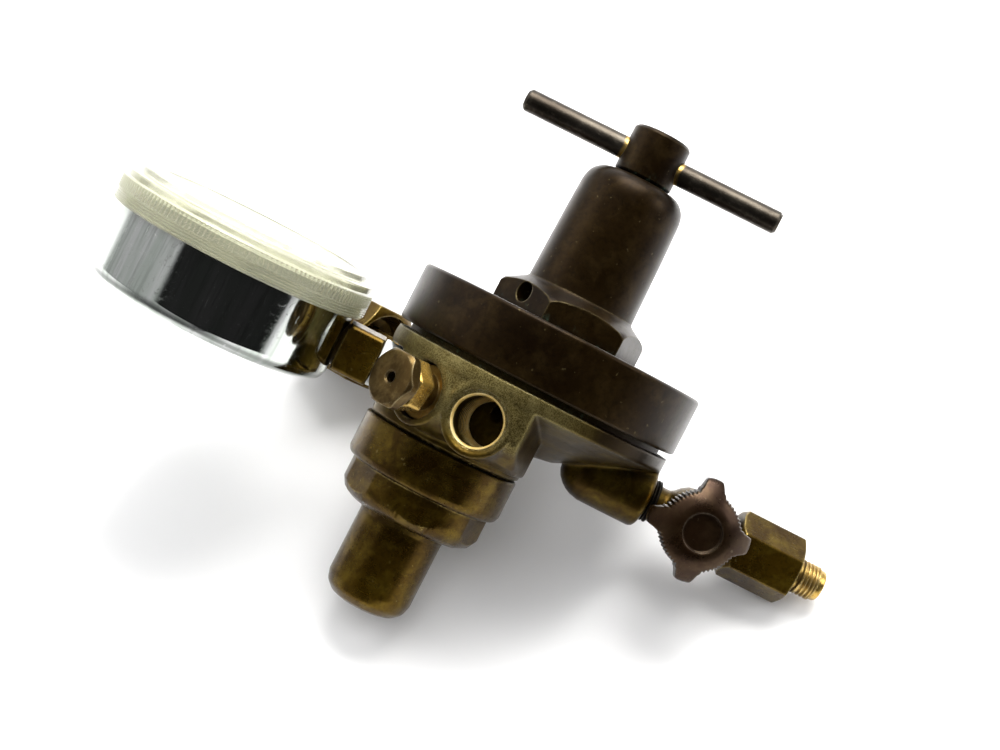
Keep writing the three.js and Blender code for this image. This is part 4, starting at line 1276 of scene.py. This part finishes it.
def wheel_profile(angle):
    edge = wheel_radius(angle)
    top = read_at(WHEEL_TOP, edge)
    out = [(0, 24.7), (2.2, 24.7), (2.2, 18.4), (edge - 0.7, 18.4), (edge - 0.2, 18.6)]
    out.append((edge, 19.1))
    out += [(edge, 19.1 + (top - 0.35 - 19.1) * k / 4) for k in range(1, 5)]
    out.append((edge - 0.1, top - 0.12))
    out += [(rim, read_at(WHEEL_TOP, rim)) for rim in np.linspace(edge - 0.35, 5.6, 10)]
    return out + [(5.3, 26.3), (5.2, 25.7), (5.0, 25.55), (2.4, 25.5), (0, 25.5)]


piece(
    "Handwheel", revolve(wheel_profile, 720), STEM, "knob_bronze", "handwheel",
    body="handwheel",
)

# ------------------------------------------------------------------ outlet
hex_piece(
    "Outlet_adapter", flats=17.46, turn=95,
    start=[(6.35, 75.6), (6.35, 66.95)],
    low=[(8.2, 66.95), (8.9, 67.05), (10.2, 68.4), (10.6, 68.9)],
    high=[(10.6, 85.35), (10.2, 85.5), (9.3, 85.8), (8.6, 86.0)],
    end=[
        (7.0, 86.0), (4.9, 86.0), (4.35, 85.5), (4.35, 77), (2.6, 77), (2.6, 75.6), (6.35, 75.6)
    ],
    count=180, place=ALONG_X, finish="olive_brass", node="outlet_adapter",
)
outlet_thread = thread(4.92, depth=0.62, pitch=1.15, z0=88.45, z1=93.15, runout=0.5, per=9)


def outlet_profile(angle):
    return (
        [(2.3, 77.6), (4.05, 77.6), (4.05, 88.0), (4.3, 88.3)]
        + outlet_thread(angle)
        + [(4.4, 93.35), (4.4, 94.7), (4.15, 95.15), (3.85, 95.3), (3.2, 95.3), (2.9, 95.1)]
        + [(2.3, 94.2), (2.3, 77.6)]
    )


piece("Outlet_nipple", revolve(outlet_profile, 96), ALONG_X, "gold_brass", "outlet_nipple")

# ------------------------------------------------------------------ inlet
NUT_BACK = 57.7
FLANGE = 69.9  # back of the nipple flange
INLET_NIPPLE = rounded(
    [
        (2, 26), (5.6, 26), (6, 30), (6, 38.8), (7.4, 38.8, 0.3), (7.4, 42.0, 0.3),
        (5.2, 42.7, 0.4), (5.2, FLANGE - 1.4, 0.6), (9.7, FLANGE, 0.4),
        (9.7, FLANGE + 4.6, 0.4), (6.4, FLANGE + 4.6), (6.4, FLANGE + 5.8), (5, FLANGE + 5.8),
        (5, FLANGE + 1.6), (2, FLANGE - 0.4), (2, 26),
    ],
    4,
)
piece(
    "Inlet_nipple", revolve(densify(INLET_NIPPLE, 3.0), 96), INLET, "gold_brass",
    "inlet_nipple",
)

NUT_LOW = [
    (11.0, NUT_BACK), (11.55, NUT_BACK + 0.1), (13.0, NUT_BACK + 0.95), (13.7, NUT_BACK + 1.5)
]
NUT_HIGH = [(13.7, 70.1), (13.0, 70.6), (11.7, 71.4), (11.5, 71.5)]
NUT_SLEEVE = [
    (11.4, 71.7), (11.4, 75), (11.4, 80), (11.4, 85.2), (11.2, 85.75), (10.95, 86.0),
    (10.7, 86.0), (10.35, 85.3),
]
# inside, from the thread back to the start
NUT_INSIDE = [
    (10.2, FLANGE - 0.3), (5.6, FLANGE - 2.2), (5.6, NUT_BACK + 6.4), (8.2, NUT_BACK + 5.4),
    (10.5, NUT_BACK + 2.2), (10.5, NUT_BACK + 0.4), (10.75, NUT_BACK), (11.0, NUT_BACK),
]
nut_thread = thread(10.2, depth=-0.95, pitch=1.814, z0=70.4, z1=84.8, runout=0.8, per=7)


def nut_profile(angle):
    hexagon = hex_outline(angle, 23.81, 0, NUT_LOW, NUT_HIGH, (4, 6, 4))
    return hexagon + NUT_SLEEVE + nut_thread(angle)[::-1] + NUT_INSIDE


piece(
    "Inlet_nut", revolve(nut_profile, 180), INLET, "olive_brass", "inlet_nut",
    body="inlet_nut",
)
WASHER = rounded(
    [
        (6.8, FLANGE + 4.9), (9.7, FLANGE + 4.9, 0.3), (9.7, FLANGE + 7.1, 0.3),
        (6.8, FLANGE + 7.1), (6.8, FLANGE + 4.9),
    ],
    3,
)
piece("Inlet_washer", revolve(WASHER, 96), INLET, "washer_white", "inlet_washer")

# ------------------------------------------------------------------ forged body
DISC = 40.3  # radius of the body disc
# frame, face, bore radius, bottom of bore (distances from the main axis)
PORTS = {
    "spare": (SPARE, 39.6, 6.51, 24.0),
    "relief": (RELIEF, 39.6, 5.2, 27.0),
    "gauge": (radial(GAUGE_TURN), 36.7, 7.1, 24.5),
    "inlet": (INLET, 38.5, 6.4, 25.0),
}
# (radius, z) of the hollowed underside, and of the underside of the port wall
UNDERSIDE = [
    (0, -3.6), (9, -3.6), (13.5, -2.75), (18, -0.55), (24, 2.35), (30, 4.85), (35, 6.65),
    (38, 7.6), (39.4, 8.05), (41, 8.6),
]
WALL_UNDER = [
    (0, -9), (30, -9), (33.5, -7.5), (36.5, -5.2), (38.6, -3.4), (DISC, -1.3), (43, 3)
]
WALL_EDGE = [(0, 7.2), (6, 7.2), (22, 5.5), (DISC, -1.4)]  # (distance from y=0, x)
# (x, radius) of the boss towards the needle valve
NOSE = [
    (15.8, -0.3), (16.0, 0.6), (16.4, 3.5), (17.2, 5.0), (18.6, 6.5), (20.0, 7.5),
    (21.4, 8.2), (24, 8.8), (39.3, 8.8), (40.1, 8.5), (40.6, 7.9), (40.85, 7.0),
]
CHAMBER = [(10.9, 24), (11, 26), (13.5, 30), (40, 30)]  # (z, radius)


def port_point(turn, reach, z):
    direction = outward(turn)
    return direction.x * reach, direction.y * reach, z


# start, end, radius of the drilled passages
PASSAGES = [
    ((-30, 0, 0), (LOW_X, 0, -4), 1.6),
    (port_point(INLET_TURN, 27, 0), (LOW_X, 0, -5), 1.6),
    (port_point(SPARE_TURN, 25, 2), port_point(SPARE_TURN, 15, 13), 1.6),
    (port_point(RELIEF_TURN, 28.4, 0), port_point(RELIEF_TURN, 21, 13), 1.5),
    ((29, 0, 1), (20, 0, 13), 1.8),
    ((LOW_X + 7.5, 0, -14), (1.5, 0, 2.5), 1.3),
]


def body_distance(points):
    x, y, z = points.T
    radius = np.hypot(x, y)
    # disc with a hollowed underside, and the neck above it
    disc = soft_max(radius - DISC, z - 12.2, 0.45)
    disc = soft_max(disc, (read_at(UNDERSIDE, radius) - z) * 0.92, 0.55)
    neck = soft_max(soft_max(radius - 37.3, z - 20.6, 0.5), 9 - z, 0.1)
    dist = np.minimum(disc, neck)
    # thick wall on the side of the ports
    side = soft_max(x - read_at(WALL_EDGE, np.abs(y)), radius - DISC, 0.9)
    depth = soft_max((read_at(WALL_UNDER, radius) - z) * 0.8, z - 11.0, 0.6)
    dist = soft_min(dist, soft_max(side, depth, 1.2), 0.8)
    # first-stage barrel
    low = local(points, LOW)
    dist = soft_min(dist, rod(low, 22.4, -11.3, 4, 0.35), 1.1)
    dist = np.minimum(dist, rod(low, 21.7, -11.8, 0, 0.2))
    dist = np.minimum(dist, rod(low, 19.5, -16.3, 0, 0.4))
    # port bosses
    at_port = {name: local(points, port[0]) for name, port in PORTS.items()}
    for name, (_, face, _, _) in PORTS.items():
        dist = soft_min(dist, rod(at_port[name], 9.4, 14, face, 0.5), 1.5)
    along = local(points, ALONG_X)
    nose = (np.hypot(along[:, 0], along[:, 1]) - read_at(NOSE, along[:, 2])) * 0.85
    nose = soft_max(soft_max(nose, along[:, 2] - 40.85, 0.6), 15.8 - along[:, 2], 0.3)
    dist = soft_min(dist, nose, 1.8)
    # milled flat and spot faces: port, radius, start, rim, blend
    dist = carve(dist, block(points, (-70, -16.6, -30), (-36.7, 16.6, 7.2), 0.8), 0.35)
    for name, size, start, rim, blend in (
        ("spare", 7.9, 39.15, 0.3, 0.5),
        ("spare", 7.1, 38.35, 0.05, 0.1),
        ("relief", 7.6, 36.4, 0.25, 0.3),
        ("inlet", 9.3, 38.5, 0.25, 0.3),
    ):
        dist = carve(dist, rod(at_port[name], size, start, 70, rim), blend)
    # chambers and bores
    dist = carve(dist, soft_max(radius - read_at(CHAMBER, z), 11 - z, 0.3), 0.2)
    dist = carve(dist, rod(low, 14, -40, -12.9), 0.2)
    dist = carve(dist, rod(points, 5.5, 1.2, 40), 0.2)
    dist = carve(dist, rod(low, 5.5, -40, -2.2), 0.2)
    for name, (_, _, bore, bottom) in PORTS.items():
        dist = carve(dist, rod(at_port[name], bore, bottom, 80), 0.25)
    dist = carve(dist, rod(along, 6.4, 27.5, 80), 0.25)
    for start, end, bore in PASSAGES:
        dist = carve(dist, drill(points, start, end, bore), 0.1)
    return dist


piece(
    "Body",
    surface_nets(body_distance, low=(-41.6, -41.6, -17.6), high=(42.2, 41.6, 21.8), step=0.46),
    move(0, 0, 0), "body_brass", "body", slot="olive_brass", angle=42,
)

# threaded mouth of the spare port, inside its boss
spare_thread = thread(
    6.25, depth=-0.62, pitch=1.41, z0=24.6, z1=37.7, runout=0.5, taper=-0.03, per=9
)
SPARE_MOUTH = [
    (6.45, 38.3), (6.8, 39.0), (6.92, 39.12), (7.08, 39.1), (7.16, 38.95), (7.2, 38.2),
    (8.2, 37.8), (8.2, 24.2), (5.9, 24.2),
]
piece(
    "Spare_port_thread",
    revolve(lambda angle: [(5.9, 24.2)] + spare_thread(angle) + SPARE_MOUTH, 120),
    SPARE, "lit_gold_brass", slot="gold_brass",
)

# ------------------------------------------------------------------ resting plane
points_of = {}
for shown in bpy.data.objects:
    if shown.type == "MESH" and not shown.hide_render:
        flat = np.zeros(len(shown.data.vertices) * 3, np.float32)
        shown.data.vertices.foreach_get("co", flat)
        points_of[shown.name] = flat.reshape(-1, 3)
all_points = np.concatenate(list(points_of.values()))

# the regulator lies on three pieces; down settles square to the plane under them
down = np.array([0.34, 0.75, -0.57])
down /= np.linalg.norm(down)
for _ in range(12):
    feet = [
        points_of[name][np.argmax(points_of[name] @ down)]
        for name in ("Inlet_nut", "Outlet_nipple", "First_stage_cap")
    ]
    normal = np.cross(feet[1] - feet[0], feet[2] - feet[0])
    normal /= np.linalg.norm(normal)
    if normal @ down < 0:
        normal = -normal
    if normal @ down < 0.9:
        break
    down = normal
FLOOR_GAP = 0.00002
level = float((all_points @ down).max()) + FLOOR_GAP
up = Vector((-down).tolist())
centre = Vector(((all_points.min(0) + all_points.max(0)) / 2).tolist())
foot = centre + Vector(down.tolist()) * (level - float(np.dot(np.array(centre), down)))

# ------------------------------------------------------------------ camera
HEADING = radians(5)  # from +Y towards +X
PITCH = radians(1.368)  # downwards
ROLL = radians(27.2)
CAMERA_BACK, CAMERA_LEFT, CAMERA_RISE = 453, 10, 22.7  # mm from the datum

ahead = Vector((sin(HEADING), cos(HEADING), 0))
right = Vector((cos(HEADING), -sin(HEADING), 0))
look = (ahead * cos(PITCH) - Vector((0, 0, 1)) * sin(PITCH)).normalized()
level_up = right.cross(look).normalized()
view_right = right * cos(ROLL) + level_up * sin(ROLL)
view_up = -right * sin(ROLL) + level_up * cos(ROLL)

lens_data = bpy.data.cameras.new("Camera")
lens_data.lens, lens_data.sensor_width, lens_data.sensor_fit = 60.3, 36.0, "HORIZONTAL"
lens_data.clip_start, lens_data.clip_end = 0.01, 20
camera = link("Camera", lens_data)
spot = BASE @ (ahead * -CAMERA_BACK + right * -CAMERA_LEFT + Vector((0, 0, CAMERA_RISE)))
camera.matrix_world = Matrix.Translation(spot) @ axes_matrix(view_right, view_up, -look)
bpy.context.scene.camera = camera

# ------------------------------------------------------------------ floor
FLOOR_HALF = 2.2
floor_x = view_right - up * view_right.dot(up)
floor_x.normalize()
floor_place = Matrix.Translation(foot) @ axes_matrix(floor_x, up.cross(floor_x), up)
floor_mesh = bpy.data.meshes.new("Floor")
floor_mesh.from_pydata(
    [
        floor_place @ Vector((x * FLOOR_HALF, y * FLOOR_HALF, 0))
        for x, y in ((-1, -1), (1, -1), (1, 1), (-1, 1))
    ],
    [],
    [(0, 1, 2, 3)],
)
floor = link("Floor", floor_mesh)


def floor_material():
    """Off-white from above, transparent from below."""
    mat = new_material("floor")
    patches = mat.ramp(mat.noise(6, detail=3, rough=0.5), 0.3, 0.7)
    colour = mat.mix(patches, (0.88, 0.88, 0.885), (0.9, 0.9, 0.9))
    both = mat.node("MixShader")
    mat.put(both.inputs[0], mat.node("NewGeometry").outputs["Backfacing"])
    mat.put(both.inputs[1], mat.node("BsdfPrincipled", Base_Color=colour, Roughness=0.75))
    mat.put(both.inputs[2], mat.node("BsdfTransparent"))
    mat.surface(both)


floor_material()
floor_mesh.materials.append(FINISH["floor"])


# ------------------------------------------------------------------ world
def build_world():
    """Bright soft surround, dark round the viewer; the camera itself sees white."""
    world = bpy.data.worlds.new("World")
    bpy.context.scene.world = world
    sky = Nodes(world, "OutputWorld")
    direction = sky.coord("Generated")

    def facing(aim, low, high, start, end):
        """start..end as the cosine to aim goes low..high."""
        dot = sky.vector("DOT_PRODUCT", direction, aim)["Value"]
        return sky.remap(dot, low, high, start, end, kind="SMOOTHSTEP")

    viewer = (-look * cos(radians(17)) + right * sin(radians(17))).normalized()
    softbox = (view_up * 0.85 + look * 0.35 - view_right * 0.1).normalized()
    lamp = (-look * 0.72 + view_up * 0.66 - view_right * 0.2).normalized()
    value = facing(viewer, 0.49, 0.58, 1.0, 0.03)
    # dimmer to the left of the view, and below it
    value = sky.mul(value, facing(view_right, -0.95, -0.1, 0.55, 1.0))
    value = sky.mul(value, facing(view_up, -0.9, 0.4, 0.55, 1.0))
    # broad softbox above and behind, and a soft lamp above the viewer
    value = sky.add(value, facing(softbox, 0.62, 0.86, 0.0, 1.3))
    value = sky.add(value, facing(lamp, 0.93, 0.975, 0.0, 1.1))
    strength = sky.mul(value, 0.86)
    both = sky.node("MixShader")
    sky.put(both.inputs[0], sky.node("LightPath").outputs["Is Camera Ray"])
    sky.put(both.inputs[1], sky.node("Background", Color=(0.99, 0.99, 1.0), Strength=strength))
    sky.put(both.inputs[2], sky.node("Background", Color=(1, 1, 1), Strength=1.0))
    sky.surface(both)


build_world()


# ------------------------------------------------------------------ lights
def area(name, direction, distance, size, energy, colour=(1, 1, 1)):
    """Square lamp aimed at the centre of the regulator."""
    data = bpy.data.lights.new(name, "AREA")
    data.shape = "RECTANGLE"
    data.size, data.size_y, data.energy, data.color = size, size, energy, colour
    lamp = link(name, data)
    direction = direction.normalized()
    lamp.location = centre + direction * distance
    lamp.rotation_mode = "QUATERNION"
    lamp.rotation_quaternion = (-direction).to_track_quat("-Z", "Y")
    return lamp


area(
    "Key", view_up * 0.8 + up * 0.75 + view_right * 0.35,
    distance=0.75, size=0.5, energy=11.0, colour=(1, 0.99, 0.97),
)
area(
    "Fill", -view_right * 0.9 + view_up * 0.5 + up * 0.4, distance=0.8, size=0.45, energy=1.2
)
area(
    "Side", view_right * 0.9 - view_up * 0.1 + up * 0.5, distance=0.8, size=0.35, energy=2.0
)
# broad fill from the viewer's side, kept out of reflections
front_fill = area("Front fill", -look * 0.9 + up * 0.45, distance=0.95, size=0.8, energy=4.2)
front_fill.visible_glossy = False

view = bpy.context.scene.view_settings
view.view_transform = "Standard"
view.look = "None"
view.exposure = 0.0
view.gamma = 1.0

bpy.context.view_layer.update()
